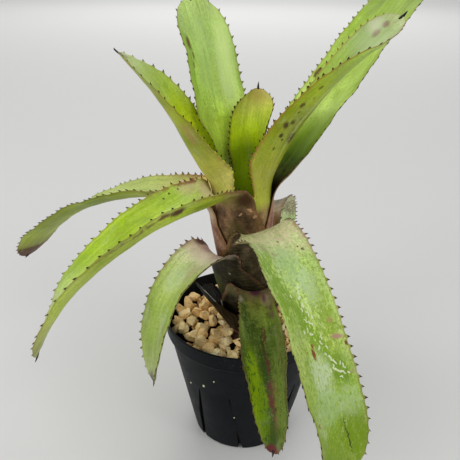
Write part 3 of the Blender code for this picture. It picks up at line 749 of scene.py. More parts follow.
def leaf_body(pile, ribbon):
    """Both faces of the leaf as one closed band, with rounded margins that draw in between the teeth."""
    leaf = ribbon.leaf
    count = len(ribbon.run)
    steps = np.linspace(-1.0, 1.0, COLUMNS + 1)
    across = np.concatenate([steps, [1.0], steps[::-1], [-1.0]])
    ring = len(across)
    face = np.concatenate([np.ones(COLUMNS + 1), [0.0], -np.ones(COLUMNS + 1), [0.0]])
    rows = np.repeat(np.arange(count)[:, None], ring, axis=1)
    across = np.repeat(across[None], count, axis=0)
    face = np.repeat(face[None], count, axis=0)
    run = ribbon.run[rows]
    share = ribbon.share[rows]
    pulls = np.stack([scallop(ribbon.run, tooth_runs(leaf, hand)) for hand in (-1, 1)])
    pull = np.where(across < 0, pulls[0][:, None], pulls[1][:, None]) * SCALLOP_DEPTH
    pull = pull * np.clip(ribbon.half_width / 6.0, 0.0, 1.0)[:, None]
    rounding = np.where(face == 0.0, MARGIN_ROUND, 0.0)
    half_width = ribbon.half_width[:, None]
    drawn = across * (1.0 - pull * np.abs(across) ** 8 / half_width) + np.sign(across) * rounding / half_width
    full = eased(run / (leaf.fold * 1.6))
    middle = SHEATH_THICKNESS + (BLADE_THICKNESS - SHEATH_THICKNESS) * full
    near_tip = np.clip((1.0 - share) / 0.05, 0.25, 1.0)
    middle = np.where(run > 0.0, middle * near_tip, middle)
    lift = face * half_thickness(middle, across) + leaf_wave(leaf, run, across, share)
    points = ribbon.points(rows, drawn, lift)
    millimetres = np.stack([across * half_width, run, np.full_like(run, leaf.seed * LEAF_SHIFT)], -1)
    shares = np.stack([across, share, (1.0 - face) / 2], -1)
    pile.add(
        points.reshape(-1, 3), tube_faces(count, ring), leaf_place=millimetres.reshape(-1, 3),
        leaf_share=shares.reshape(-1, 3), spine=np.zeros(count * ring))


SINGLE_TIP = ((0.0, 1.0),)          # how far each point leans aside, and its share of the full length
FORKED_TIP = ((-0.25, 1.0), (0.35, 0.8))
END_SPINE_RINGS = (-0.6, -0.2, 0.0, 0.3, 0.65, 0.9)
END_SPINE_SIDES = 8


def oval(middle, side, half_width, up, half_height, sides):
    """Points round an oval, whose two half sizes lie in two directions."""
    turns = [math.tau * step / sides for step in range(sides)]
    return [middle + side * (half_width * math.cos(turn)) + up * (half_height * math.sin(turn))
            for turn in turns]


def add_spine(pile, leaf, points, faces, place, share, spine):
    """Adds a spine with the skin of the place on the leaf that it grows from."""
    count = len(points)
    pile.add(
        points, faces, leaf_place=np.tile((*place, leaf.seed * LEAF_SHIFT), (count, 1)),
        leaf_share=np.tile((*share, 0.5), (count, 1)), spine=spine)


def tooth_stand(ribbon, row, hand):
    """Where a tooth stands, and its directions: outwards, forwards and to the hollow side."""
    across = np.array(float(hand))
    lift = leaf_wave(ribbon.leaf, ribbon.run[row], across, ribbon.share[row])
    angle = hand * ribbon.half_angle[row]
    outwards = hand * (ribbon.side[row] * math.cos(angle) + ribbon.inner[row] * math.sin(angle))
    normal = ribbon.inner[row] * math.cos(angle) - ribbon.side[row] * math.sin(angle)
    next_place = ribbon.points(min(row + 1, len(ribbon.run) - 1), across, lift)
    forward = next_place - ribbon.points(row - 1, across, lift)
    forward = forward / np.linalg.norm(forward)
    outwards = outwards - forward * np.dot(outwards, forward)
    return ribbon.points(row, across, lift), outwards / np.linalg.norm(outwards), forward, normal


def tooth_points(stand, size, hook):
    """Ovals that close in towards a point, which leans forwards by hook."""
    place, outwards, forward, normal = stand
    length = TOOTH_LENGTH * size
    points = []
    for reach in TOOTH_RINGS:
        past = max(reach, 0.0)
        middle = place + outwards * (length * reach) + forward * (length * hook * past ** 1.6)
        half_base = TOOTH_HALF_BASE * size * (1.0 - past) ** 1.25
        half_thick = TOOTH_HALF_THICKNESS * size ** 0.5 * (1.0 - past) ** 0.6
        points.extend(oval(middle, forward, half_base, normal, half_thick, TOOTH_SIDES))
    points.append(place + outwards * length + forward * (length * hook))
    return points


def leaf_teeth(pile, ribbon):
    """A hooked spine at each tooth of both margins."""
    leaf = ribbon.leaf
    faces = tube_faces(len(TOOTH_RINGS), TOOTH_SIDES, closed_ends=False)
    top = (len(TOOTH_RINGS) - 1) * TOOTH_SIDES
    faces.append(tuple(range(TOOTH_SIDES)))
    for step in range(TOOTH_SIDES):
        faces.append((top + step, top + (step + 1) % TOOTH_SIDES, top + TOOTH_SIDES))
    spine = [max(reach, 0.0) for reach in TOOTH_RINGS for _ in range(TOOTH_SIDES)] + [1.0]
    for hand in (-1, 1):
        rng = random.Random(leaf.seed * 3 + (hand > 0))
        for run in tooth_runs(leaf, hand):
            row = int(np.argmin(np.abs(ribbon.run - run)))
            half_width = ribbon.half_width[row]
            share = ribbon.share[row]
            if half_width < 1.0:
                continue
            size = rng.uniform(0.8, 1.15) * (1.0 - 0.45 * eased((share - 0.75) / 0.25))
            points = tooth_points(tooth_stand(ribbon, row, hand), size, TOOTH_HOOK * rng.uniform(0.5, 1.3))
            add_spine(pile, leaf, points, faces, (hand * half_width, run), (hand, share), spine)


def end_spine(pile, ribbon, tips):
    """The slender point, or two of them, at the leaf's tip."""
    side = ribbon.side[-1]
    inner = ribbon.inner[-1]
    faces = tube_faces(len(END_SPINE_RINGS), END_SPINE_SIDES)
    spine = [0.45 + 0.55 * max(share, 0.0) for share in END_SPINE_RINGS for _ in range(END_SPINE_SIDES)]
    for lean, reach in tips:
        direction = ribbon.along[-1] + side * lean
        points = []
        for share in END_SPINE_RINGS:
            past = max(share, 0.0)
            middle = ribbon.place[-1] + direction * (END_SPINE * reach * share) + inner * (0.5 * past ** 2)
            half_width = min(1.5, ribbon.half_width[-1] + 0.35) * (1.0 - past) ** 0.8
            points.extend(oval(middle, side, half_width, inner, 0.5 * (1.0 - past) ** 0.6, END_SPINE_SIDES))
        add_spine(pile, ribbon.leaf, points, faces, (0.0, ribbon.run[-1]), (0.0, 1.0), spine)


# Looks of the leaves

@dataclass
class Mark:
    """An oval mark on a leaf: its place across and along in millimetres, its size, colour and strength."""
    across: float
    along: float
    half_width: float
    half_length: float
    colour: tuple
    strength: float = 0.9
    softness: float = 0.8
    turn: float = 0.0
    under: bool = False
    wet: float = 0.0
    ragged: bool = True         # marks longer than 12 mm are broken up, unless this is off


@dataclass
class Look:
    """The colours of a leaf from its fold, 0, to its tip, 1, on its upper and its under face."""
    upper: list
    under: list
    marks: list
    sheath: list = field(default_factory=lambda: SHEATH_PLAIN)
    sheath_edge: float = 0.7
    brown_from: float = 2.0     # how far from the crease the sheath's brown starts, mm
    bare: float = 0.45          # how strongly the leaf's own green shows where the bloom is thin
    bare_colour: tuple = BARE_GREEN
    rubbed: float = 0.35        # the same in small flecks
    silver: float = 0.25
    specks: float = 0.12
    grain: float = 0.1          # how far 1 mm grains are lighter and darker than the skin's mean
    crest: tuple = DRY_TAN
    crest_amount: float = 0.6
    crest_at: float = 0.0       # how far from the crease the crest lies, mm, where not at the fold
    stain: tuple = PURPLE_STAIN
    stain_cover: float = 0.1
    stain_amount: float = 0.4
    streaks: float = 0.2
    veins: float = 0.12         # how far the fine lines are lighter and darker than the skin between them
    bloom: float = 0.4
    edge: tuple = RED_BROWN
    edge_amount: float = 0.35
    warm_edge: float = 0.25     # the red-brown of the margin near the fold
    roughness: float = 0.4
    gloss: float = 0.18         # the shader's specular level
    throat_shade: float = 20.0        # how far up the blade its painted throat shade reaches, mm from the crease
    throat_shade_amount: float = 0.0


OLIVE_UNDER = [(0, (66, 62, 34)), (0.12, (92, 88, 48)), (0.3, (126, 132, 66)), (1, (150, 156, 104))]
DULL_UNDER = [(0, (96, 92, 50)), (0.2, (128, 134, 66)), (0.6, (140, 152, 84)), (1, (150, 156, 104))]

LOOKS = {
    "big_right_leaf": Look(
        upper=[(0, (208, 204, 156)), (0.2, (208, 214, 156)), (0.33, (178, 205, 112)), (0.48, (184, 210, 112)),
            (0.62, (180, 202, 104)), (0.76, (142, 173, 62)), (0.88, (130, 154, 46)), (1, (124, 142, 50))],
        under=OLIVE_UNDER, sheath=SHADED_SHEATH_OLIVE, brown_from=26, crest=(222, 200, 172), crest_amount=0.5,
        crest_at=44, stain_cover=0.04, bare=0.5, rubbed=0.85, silver=0.6, specks=0.3, grain=0.2, bloom=0.55,
        warm_edge=0.6, roughness=0.42,
        marks=[
            Mark(-15, 70, 3, 14, (122, 154, 14), 0.85, wet=0.5),
            Mark(-11, 86, 4.6, 17, (118, 154, 2), 0.95, wet=0.8),
            Mark(-8, 64, 2, 8, (126, 158, 16), 0.8, wet=0.5),
            Mark(-2, 99, 4, 18, (116, 152, 2), 0.95, 0.8, -0.3, wet=1),
            Mark(5, 115, 3.6, 14, (122, 158, 4), 0.95, 0.8, -0.4, wet=1),
            Mark(10.4, 126, 4.6, 8, (110, 146, 2), 0.95, wet=1), Mark(8, 154, 7.5, 14, (112, 142, 4), 0.85),
            Mark(-6, 160, 7, 11, (118, 148, 20), 0.7), Mark(10, 98, 5, 20, (130, 158, 28), 0.75),
            Mark(2, 72, 6, 14, (160, 188, 136), 0.6), Mark(8, 84, 4, 10, (188, 208, 164), 0.6, 0.9),
            Mark(-1, 124, 6, 9, (204, 220, 180), 0.65, 0.9), Mark(-2, 138, 8, 8, (172, 198, 140), 0.6),
            Mark(11, 140, 6, 7, (184, 206, 150), 0.5, 0.9), Mark(12.8, 63, 0.9, 0.9, SPOT_BROWN, 0.8, 0.35),
            Mark(11, 61, 0.5, 0.6, SPOT_BROWN, 0.9, 0.35), Mark(2.9, 54, 0.7, 0.7, SPOT_BROWN, 0.9, 0.35),
            Mark(3.9, 51, 2.2, 2.6, (168, 140, 124), 0.35),
            Mark(13.6, 111, 2.9, 1.1, (180, 128, 122), 0.85, 0.6, 0.25),
            Mark(12.4, 103, 1.2, 1.2, (176, 134, 96), 0.7, 0.35),
            Mark(17, 115, 0.7, 1.2, RED_BROWN, 0.9, 0.35),
            Mark(-1.4, 115, 0.8, 2.6, (126, 62, 22), 0.95, 0.35),
            Mark(-1, 111.4, 0.5, 1, (140, 50, 26), 0.9, 0.35),
            Mark(-13.6, 141, 1.2, 1, (150, 110, 80), 0.8, 0.35),
            Mark(15.4, 128, 1.6, 0.8, (168, 140, 110), 0.6, 0.35),
            Mark(5.6, 158, 0.45, 5.9, (54, 62, 8), 0.85, 0.35),
            Mark(5, 150, 0.35, 4, (60, 76, 10), 0.8, 0.35), Mark(-9, 62, 3, 3.5, (160, 140, 116), 0.3, 0.35),
            Mark(-3, 66, 1.6, 1.6, (150, 124, 96), 0.4, 0.35)]),
    "low_front_leaf": Look(
        upper=[(0, (108, 90, 44)), (0.1, (118, 122, 44)), (0.2, (124, 138, 50)), (0.33, (104, 128, 28)),
            (0.48, (64, 85, 6)), (0.63, (60, 90, 2)), (0.8, (48, 74, 1)), (1, (58, 80, 1))],
        under=DULL_UNDER, sheath=SHADED_SHEATH_BLACK, crest=(138, 112, 92), crest_amount=0.4, stain=(34, 50, 4),
        stain_cover=0.5, stain_amount=0.45, bare=0.6, bare_colour=(48, 82, 2), silver=0.2, specks=0.45,
        grain=0.24, bloom=0.25, roughness=0.4,
        marks=[
            Mark(0.4, 50, 1.6, 8, (84, 40, 40), 0.85, 0.8, 0.06),
            Mark(-0.6, 59, 0.9, 6.4, (76, 34, 34), 0.75, 0.8, -0.08),
            Mark(1.8, 69, 0.8, 3, (92, 54, 36), 0.5, 0.7, 0.3),
            Mark(0.2, 67, 1.2, 6.4, (92, 44, 40), 0.8, 0.8, 0.05), Mark(0.6, 84, 2.8, 8, (98, 46, 40), 0.95),
            Mark(3.4, 80, 1, 4, (112, 58, 38), 0.6, 0.7, -0.2),
            Mark(1.8, 94, 1.8, 6.2, (104, 54, 48), 0.7, 0.8, 0.12),
            Mark(7.6, 70, 0.9, 6.4, (96, 74, 44), 0.7, 0.7), Mark(-7.4, 82, 4.2, 26, (134, 164, 2), 0.95),
            Mark(-3, 68, 2.4, 9, (48, 72, 4), 0.7), Mark(-2.4, 102, 3, 7, (62, 86, 4), 0.6),
            Mark(-4.6, 92, 2.8, 15, (104, 136, 2), 0.8), Mark(-4, 50, 4, 14, (44, 68, 4), 0.7),
            Mark(5, 86, 3.6, 24, (112, 130, 44), 0.7), Mark(9.4, 60, 2.4, 24, (116, 124, 60), 0.6),
            Mark(-8, 30, 3, 14, (46, 74, 8), 0.8), Mark(-10.5, 19, 2.4, 3, (176, 166, 144), 0.8, 0.7),
            Mark(7.5, 20, 4, 8, (150, 132, 112), 0.75), Mark(5, 17, 1, 5, (110, 56, 76), 0.8, 0.6),
            Mark(8, 34, 1.4, 8, (112, 78, 76), 0.7, 0.7), Mark(-1, 110, 4.5, 3.5, (104, 34, 40), 0.95, 0.5),
            Mark(1, 99, 4, 3, (64, 80, 8), 0.6, 0.7), Mark(0.7, 9, 3.4, 4, (88, 44, 62), 0.95, 0.5)]),
    "low_left_leaf": Look(
        upper=[(0, (246, 206, 186)), (0.1, (242, 238, 196)), (0.22, (204, 218, 142)), (0.34, (183, 200, 112)),
            (0.5, (154, 177, 72)), (0.8, (147, 165, 84)), (0.93, (164, 174, 116)), (1, (140, 140, 108))],
        under=OLIVE_UNDER, sheath=SHADED_SHEATH_BLACK, sheath_edge=0.2, brown_from=9, crest=(240, 216, 200),
        crest_amount=0.6, bloom=0.55, warm_edge=0.5, bare=0.4, silver=0.6, grain=0.14,
        marks=[
            Mark(-14.6, 8, 3.6, 4.4, (70, 32, 30), 0.95, 0.5), Mark(-7, 9, 4, 3, (150, 104, 112), 0.7),
            Mark(1, 16, 9, 6, (240, 226, 206), 0.6, 0.9), Mark(7, 12, 5, 4, (196, 158, 160), 0.6),
            Mark(3, 30, 4, 6, (198, 172, 154), 0.4), Mark(-4, 36, 6, 9, (204, 220, 176), 0.6, 0.9),
            Mark(6, 66, 3, 7, (136, 146, 84), 0.6), Mark(-9.8, -17, 6, 6, (72, 82, 26), 0.8, under=True),
            Mark(6, -5, 0.7, 0.5, (190, 200, 180), 0.9, 0.35, under=True),
            Mark(0, 97, 4, 5, (92, 88, 84), 0.85, 0.6)]),
    "long_left_leaf": Look(
        upper=[(0, (190, 206, 116)), (0.12, (170, 197, 74)), (0.3, (168, 196, 32)), (0.5, (156, 186, 20)),
            (0.63, (146, 176, 38)), (0.78, (182, 203, 118)), (1, (176, 172, 134))],
        under=[(0, (124, 108, 32)), (0.1, (172, 184, 46)), (0.3, (185, 208, 66)), (0.47, (192, 208, 80)),
            (0.6, (180, 195, 72)), (0.78, (180, 198, 80)), (0.88, (186, 190, 104)), (1, (146, 142, 94))],
        sheath=SHEATH_COLUMN, brown_from=4, crest=(188, 168, 124), crest_amount=0.55, bloom=0.3, streaks=0.3,
        bare=0.5, silver=0.3, warm_edge=0.8,
        marks=[
            Mark(-16.6, 36, 0.7, 0.7, SPOT_BROWN, 0.9, 0.35),
            Mark(-17.7, 31, 0.7, 0.7, SPOT_BROWN, 0.9, 0.35),
            Mark(-17.5, 25, 0.7, 0.7, SPOT_BROWN, 0.9, 0.35), Mark(-16, 20, 4, 6, (198, 166, 150), 0.5),
            Mark(-9, 7, 8, 6, (226, 200, 180), 0.6, 0.9), Mark(4, 12, 8, 7, (214, 204, 158), 0.5, 0.9),
            Mark(19.6, 53, 2.4, 4, (84, 48, 40), 0.95, 0.5, under=True),
            Mark(20.4, 60, 1.6, 3, (110, 70, 54), 0.9, 0.5, under=True),
            Mark(19.8, 70, 1.4, 7, (110, 100, 60), 0.8, 0.6, under=True),
            Mark(20, 86, 1.2, 8, (120, 116, 66), 0.7, 0.6, under=True),
            Mark(14.6, 5, 6, 4, (66, 40, 24), 0.95, 0.7, under=True),
            Mark(10.6, -2.2, 1.5, 0.5, (214, 176, 138), 0.8, 0.35, 0.7, under=True),
            Mark(16, 0.4, 1.7, 0.6, (220, 172, 130), 0.85, 0.35, -0.5, under=True),
            Mark(18.6, -3.6, 1.2, 0.9, (206, 156, 116), 0.8, 0.35, 0.3, under=True),
            Mark(19.6, -8, 1.6, 3, (150, 120, 74), 0.6, under=True),
            Mark(12, -8, 7, 5, (60, 48, 28), 0.5, under=True),
            Mark(7, -16, 6, 9, (84, 82, 34), 0.7, under=True),
            Mark(-4, -28, 4, 9, (134, 104, 74), 0.8, 0.7, under=True),
            Mark(0, 142, 5, 4, (84, 52, 30), 0.8, 0.6)]),
    "far_left_leaf": Look(
        upper=[(0, (232, 212, 112)), (0.11, (194, 190, 112)), (0.25, (180, 193, 108)),
            (0.44, (170, 182, 104)), (0.8, (150, 164, 84)), (0.93, (110, 90, 34)), (1, (60, 34, 12))],
        under=[(0, (84, 64, 38)), (0.2, (152, 164, 42)), (0.4, (120, 140, 20)), (0.63, (149, 165, 48)),
            (0.82, (162, 178, 56)), (0.9, (136, 138, 40)), (0.96, (76, 42, 10)), (1, (54, 30, 8))],
        sheath=SHEATH_MAROON, crest=(206, 178, 150), crest_amount=0.8, bloom=0.2, bare=0.4, silver=0.12,
        warm_edge=0.8,
        marks=[
            Mark(0, 169, 22, 10, (82, 40, 10), 1, 0.3, under=True), Mark(4, 170, 22, 9, (86, 44, 16), 1, 0.4),
            Mark(-9, 164, 3, 4, (150, 112, 70), 0.7, 0.7, under=True),
            Mark(-16.4, 23, 1.2, 1.8, (130, 76, 62), 0.8, 0.35),
            Mark(-14.6, 30, 1, 1.4, (206, 178, 162), 0.7, 0.35)]),
    "upper_left_leaf": Look(
        # The bright lime near the fold is partly the leaf's own colour and partly painted light, brightened
        # where its hollow lies in shade.
        upper=[(0, (200, 222, 2)), (0.33, (222, 246, 2)), (0.48, (180, 202, 8)), (0.63, (175, 200, 70)),
            (0.82, (168, 190, 96)), (1, (174, 186, 120))],
        under=[(0, (202, 194, 104)), (0.1, (180, 172, 78)), (0.2, (166, 164, 74)), (0.32, (132, 138, 16)),
            (0.47, (156, 161, 42)), (0.62, (142, 139, 30)), (0.75, (154, 162, 76)), (1, (140, 136, 64))],
        brown_from=-14, crest=(176, 164, 104), crest_amount=0.3, stain=(148, 112, 74), stain_cover=0.25,
        stain_amount=0.45, bloom=0.25, bare=0.45,
        marks=[
            Mark(16.2, 43, 3.4, 7, (166, 128, 92), 0.6, 0.7, under=True),
            Mark(3, 92, 4, 2.6, (60, 40, 30), 0.9, 0.6)]),
    "top_leaf": Look(
        upper=[(0, (176, 202, 62)), (0.12, (198, 230, 96)), (0.2, (188, 222, 96)), (0.35, (178, 213, 96)),
            (0.6, (176, 212, 108)), (1, (184, 209, 118))],
        under=DULL_UNDER, brown_from=-20, crest_amount=0, stain_cover=0.03, bloom=0.3, streaks=0.45,
        roughness=0.38, bare=0.4, silver=0.4,
        marks=[
            Mark(19, 52, 3.2, 40, (134, 166, 46), 0.6, 0.7, ragged=False),
            # The two pale streaks are partly pale bloom and partly painted highlight on one side of the
            # hollow.
            Mark(-14, 56, 5, 24, (216, 236, 152), 0.85, 0.9, ragged=False),
            Mark(-8.5, 44, 2.2, 14, (206, 226, 160), 0.5, 0.9, ragged=False),
            Mark(14.6, 64, 2, 4.2, (96, 60, 34), 0.9, 0.5, 0.15),
            Mark(13.8, 57, 1.2, 2.2, (104, 70, 40), 0.8, 0.6),
            Mark(15.2, 52, 0.8, 2, (110, 80, 50), 0.8, 0.5), Mark(2, 60, 6, 26, (184, 208, 132), 0.4, 0.9),
            Mark(8, 26, 6, 9, (132, 156, 60), 0.5, 0.9)]),
    "upper_right_leaf": Look(
        upper=[(0, (128, 146, 48)), (0.6, (158, 184, 74)), (0.8, (152, 177, 96)), (0.9, (154, 174, 108)),
            (1, (180, 188, 140))],
        under=[(0, (178, 183, 56)), (0.1, (160, 170, 36)), (0.22, (132, 138, 10)), (0.34, (128, 140, 8)),
            (0.48, (159, 178, 32)), (0.75, (172, 204, 76)), (1, (182, 190, 136))],
        sheath=SHEATH_TAN, sheath_edge=0, brown_from=-8, crest_amount=0.1, stain=(120, 84, 30),
        stain_cover=0.2, stain_amount=0.5, bloom=0.2, bare=0.35, edge=(150, 92, 44), edge_amount=0.6,
        marks=[
            Mark(-14.8, 54, 1.1, 1.7, (80, 54, 26), 0.85, 0.6, under=True),
            Mark(-13.2, 50, 0.6, 0.8, SPOT_BROWN, 0.8, 0.35, under=True),
            Mark(-11.4, 44, 1.2, 1.5, (78, 58, 24), 0.85, 0.6, under=True),
            Mark(-14, 41, 1.3, 2, (70, 44, 22), 0.9, 0.6, 0.4, under=True),
            Mark(-12.6, 35, 1.1, 1.3, SPOT_BROWN, 0.9, 0.5, under=True),
            Mark(-10.9, 33, 0.6, 0.7, SPOT_BROWN, 0.8, 0.35, under=True),
            Mark(-12.6, 27, 0.8, 1, SPOT_BROWN, 0.8, 0.5, under=True),
            Mark(-8.4, 47, 0.7, 0.9, (96, 74, 34), 0.7, 0.6, under=True),
            Mark(-14.3, 66, 0.8, 1.2, SPOT_BROWN, 0.7, 0.6, under=True),
            Mark(-5.4, 35, 2.6, 3.4, (62, 34, 18), 0.9, 0.5, under=True),
            # A painted highlight: the long pale line along the keel of the under face.
            Mark(-6.6, 50, 1.4, 30, (190, 200, 120), 0.5, under=True),
            Mark(-16.5, 6, 3, 9, (176, 176, 84), 0.6, 0.7, under=True),
            Mark(0, 98, 14, 9, (176, 194, 140), 0.6, 0.9, ragged=False),
            Mark(4.6, 103, 2.2, 2.4, (140, 108, 98), 0.8, 0.6),
            Mark(3.6, 109, 2, 1.8, (132, 98, 88), 0.8, 0.6), Mark(9, 106, 4, 4, (214, 212, 186), 0.6, 0.9)]),
    "top_right_leaf": Look(
        # The near-black and dark green at the start of the upper ramp are painted shade in the hollow of the
        # vase.
        upper=[(0, (34, 23, 2)), (0.09, (58, 74, 2)), (0.2, (180, 212, 58)), (0.32, (212, 238, 126)),
            (0.5, (177, 206, 90)), (0.62, (160, 186, 80)), (0.8, (148, 176, 72)), (1, (152, 174, 92))],
        under=[(0, (112, 104, 52)), (0.4, (132, 144, 60)), (1, (150, 162, 92))],
        sheath=SHEATH_MAROON, crest_amount=0.1, stain=(122, 124, 30), stain_cover=0.14, stain_amount=0.5,
        bloom=0.2, streaks=0.3, throat_shade=24, throat_shade_amount=1, bare=0.5, silver=0.12, gloss=0.05,
        marks=[
            # The large dark green mark is painted shade in the gutter; the long pale mark is a painted
            # highlight down the hollow.
            Mark(-6, 40, 18, 15, (62, 100, 2), 0.55, 0.9, ragged=False),
            Mark(-10, 62, 5, 26, (190, 214, 120), 0.5, 0.9, ragged=False),
            Mark(21.6, 83, 1.4, 4.2, (96, 60, 34), 0.85, 0.35), Mark(0, 167, 5, 3, (70, 44, 26), 0.8, 0.35)]),
    "heart_leaf": Look(
        upper=[(0, (150, 174, 1)), (0.1, (172, 194, 1)), (0.2, (190, 210, 4)), (0.32, (200, 221, 26)),
            (0.5, (200, 214, 62)), (0.7, (201, 203, 88)), (1, (192, 176, 108))],
        under=DULL_UNDER, brown_from=-24, crest_amount=0, stain_cover=0, bloom=0.15, bare=0.3, silver=0.2,
        edge_amount=0.5,
        marks=[
            Mark(0, 46, 6, 5, (168, 146, 62), 0.6), Mark(-8, 24, 3, 12, (176, 186, 84), 0.5)]),
    "back_right_leaf": Look(
        upper=[(0, (131, 86, 46)), (0.12, (80, 44, 14)), (0.25, (92, 74, 34)), (0.7, (150, 166, 88)),
            (1, (132, 120, 70))],
        under=[(0, (150, 120, 80)), (0.4, (236, 240, 190)), (0.6, (224, 234, 184)), (0.75, (196, 228, 138)),
            (1, (150, 156, 104))],
        crest=(186, 168, 130),
        marks=[
            Mark(-14, 74, 6, 16, (112, 86, 58), 0.75, 0.6, under=True)]),
}


class LeafSkin:
    """The finish of one leaf: blade, crest of the fold, sheath, marks, then margins and spines."""

    def __init__(self, name, leaf, look):
        self.leaf = leaf
        self.look = look
        self.material, self.shader = new_material(name + "_skin")
        self.place = attribute(self.material, "leaf_place")
        self.spine = attribute(self.material, "spine", "Fac")
        across_share, self.along_share, self.under_face = attribute(self.material, "leaf_share").parts()
        self.upper_face = 1.0 - self.under_face
        self.from_middle = across_share.maths("ABSOLUTE")
        self.along = self.place.parts()[1]
        self.fine_veins, self.broad_veins = self.place.effect("veins")
        self.scales, self.scale_height = self.place.effect("scurf", amount=look.bloom)
        self.patchy = self.place.cloud((0.2, 0.2), 4.0)

    def blade(self):
        """The colours of both faces, with patches, veins, pale scales, rubbed flecks, grains and dots."""
        look = self.look
        place = self.place
        colour = self.along_share.ramp(look.under)
        colour = colour.mix(self.under_face, self.along_share.ramp(look.upper), colour)
        brightness, patch = place.effect("mottle", contrast=0.5)
        colour = colour.shaded(brightness)
        colour = colour.tinted(patch.between(0.52, 0.68) * look.bare, look.bare_colour)
        colour = colour.tinted(patch.between(0.47, 0.32) * look.silver, SILVER_GREEN)
        colour = colour.shaded(place.cloud((0.055, 0.03), 2.0, 0.5).ranged(0.34, 0.66, 0.82, 1.2))
        colour = colour.shaded(self.fine_veins.ranged(0.3, 0.7, 1.0 - look.veins, 1.0 + look.veins))
        out_of_fold = self.along.between(4.0, 44.0) * look.streaks
        colour = colour.tinted(self.broad_veins.between(0.5, 0.68) * out_of_fold, (198, 214, 112))
        colour = colour.tinted(self.broad_veins.between(0.46, 0.3) * look.streaks, (100, 124, 16))
        colour = colour.tinted(self.scales, PALE_BLOOM)
        rubbed = place.cloud((0.72, 0.46), 5.0, 0.76, 0.5)
        colour = colour.tinted(rubbed.between(0.5, 0.62) * look.rubbed, look.bare_colour)
        grains = place.cloud((1.0, 0.7), 4.0, 0.75)
        colour = colour.shaded(grains.ranged(0.34, 0.66, 1.0 - look.grain, 1.0 + look.grain))
        dots = place.cloud((1.9, 1.3), 2.0, 0.6)
        colour = colour.tinted(dots.between(0.62, 0.7) * look.specks, (214, 220, 178))
        colour = colour.tinted(dots.between(0.4, 0.3) * 0.3, (92, 112, 30))
        stained, = place.effect("stains", size=9.0, cover=look.stain_cover)
        return colour.tinted(stained * look.stain_amount, look.stain)

    def crested(self, colour):
        """Adds the dry crest of the fold."""
        fold = self.leaf.fold
        from_fold = (self.along - (self.look.crest_at or fold * 0.7)).maths("ABSOLUTE")
        crest = from_fold.between(fold * 1.5, fold * 0.3) * self.patchy.between(0.32, 0.6)
        return colour.tinted(crest * self.look.crest_amount, self.look.crest)

    def sheath_share(self):
        """1 on the sheath, 0 on the blade. On the upper face it starts 2 mm past the crease at most."""
        brown_from = self.look.brown_from
        # On the upper face this share carries the painted throat shade.
        throat_shade_from = min(brown_from, 2.0)
        return self.under_face.mix(
            self.under_face, self.along.between(throat_shade_from + 2.0, throat_shade_from - 6.0),
            self.along.between(brown_from + 4.0, brown_from - 5.0))

    def sheath_colour(self):
        """Brown with grime, a pale edge and scales outside, and painted shade inside, where the vase is dark.
        """
        grime = self.place.cloud((1.1, 0.8), 4.0, 0.7)
        pale_edge = self.from_middle.between(0.84, 0.97) * grime.between(0.25, 0.6)
        brown = self.place.cloud((0.16, 0.1), 5.0, 0.65).ramp(self.look.sheath)
        brown = brown.shaded(grime.ranged(0.32, 0.68, 0.55, 1.45))
        brown = brown.tinted(pale_edge * self.look.sheath_edge, (160, 122, 78))
        brown = brown.tinted(self.place.effect("scurf", amount=0.5)[0], (160, 140, 118))
        # Painted shade over the whole inner face of the sheath.
        return brown.tinted(self.upper_face, PAINTED_THROAT_SHADE)

    def marked(self, colour):
        """Adds the marks, with shaken outlines, and gives the colour and how wet the leaf is."""
        shake = (self.place.cloud((0.7, 0.7)) - 0.5) * 2.2
        shaken = self.place.moved(shake.joined(shake, 0.0))
        gaps = self.place.cloud((0.62, 0.34), 5.0, 0.78, 0.6).ranged(0.36, 0.64, 0.1, 1.4)
        wet = 0.0
        for mark in self.look.marks:
            spot, = shaken.effect(
                "mark", across=mark.across, along=mark.along, half_width=mark.half_width,
                half_length=mark.half_length, turn=mark.turn, softness=mark.softness)
            spot = spot * (self.under_face if mark.under else self.upper_face)
            if mark.half_length > 6.0 and mark.ragged:
                spot = (spot * gaps).between(0.14, 0.74)
            colour = colour.tinted(spot * mark.strength, mark.colour)
            if mark.wet:
                wet = (spot * mark.wet).maths("MAXIMUM", wet)
        return colour, wet

    def edged(self, colour):
        """Adds the red-brown margins and the dark spines."""
        look = self.look
        start = max(look.brown_from, 0.0)
        near_fold = self.along.between(start + 54.0, start + 14.0) * self.along.between(start, start + 6.0)
        warm_edge = self.from_middle.between(0.84, 0.96) * near_fold * self.patchy.between(0.36, 0.56)
        colour = colour.tinted(warm_edge * look.warm_edge, (132, 74, 56))
        colour = colour.tinted(self.from_middle.between(0.93, 1.0) * look.edge_amount, look.edge)
        colour = colour.tinted(self.spine.between(0.02, 0.25) * 0.8, (92, 48, 26))
        return colour.tinted(self.spine.between(0.1, 0.42), BLACK_BROWN)

    def finish(self):
        look = self.look
        sheath = self.sheath_share()
        colour = self.crested(self.blade())
        colour = colour.mix(sheath, colour, self.sheath_colour())
        # Painted shade: the upper face darkens towards the crease, where the vase lies in shade.
        throat_shade = self.along.between(look.throat_shade, self.leaf.fold * 0.3) * self.upper_face
        colour = colour.tinted(throat_shade * look.throat_shade_amount, PAINTED_THROAT_SHADE)
        colour, wet = self.marked(colour)
        roughness = self.scale_height * 0.16 + look.roughness + sheath * 0.2
        height = self.fine_veins * 0.7 + self.scale_height * 0.25 + self.broad_veins * 1.3
        feed(self.shader, {
            "Base Color": self.edged(colour), "Roughness": roughness - wet * 0.18, "Coat Weight": wet * 0.8,
            "Coat Roughness": 0.1, "Specular IOR Level": look.gloss, "Normal": height.bumped(0.45, 0.8)})
        return self.material


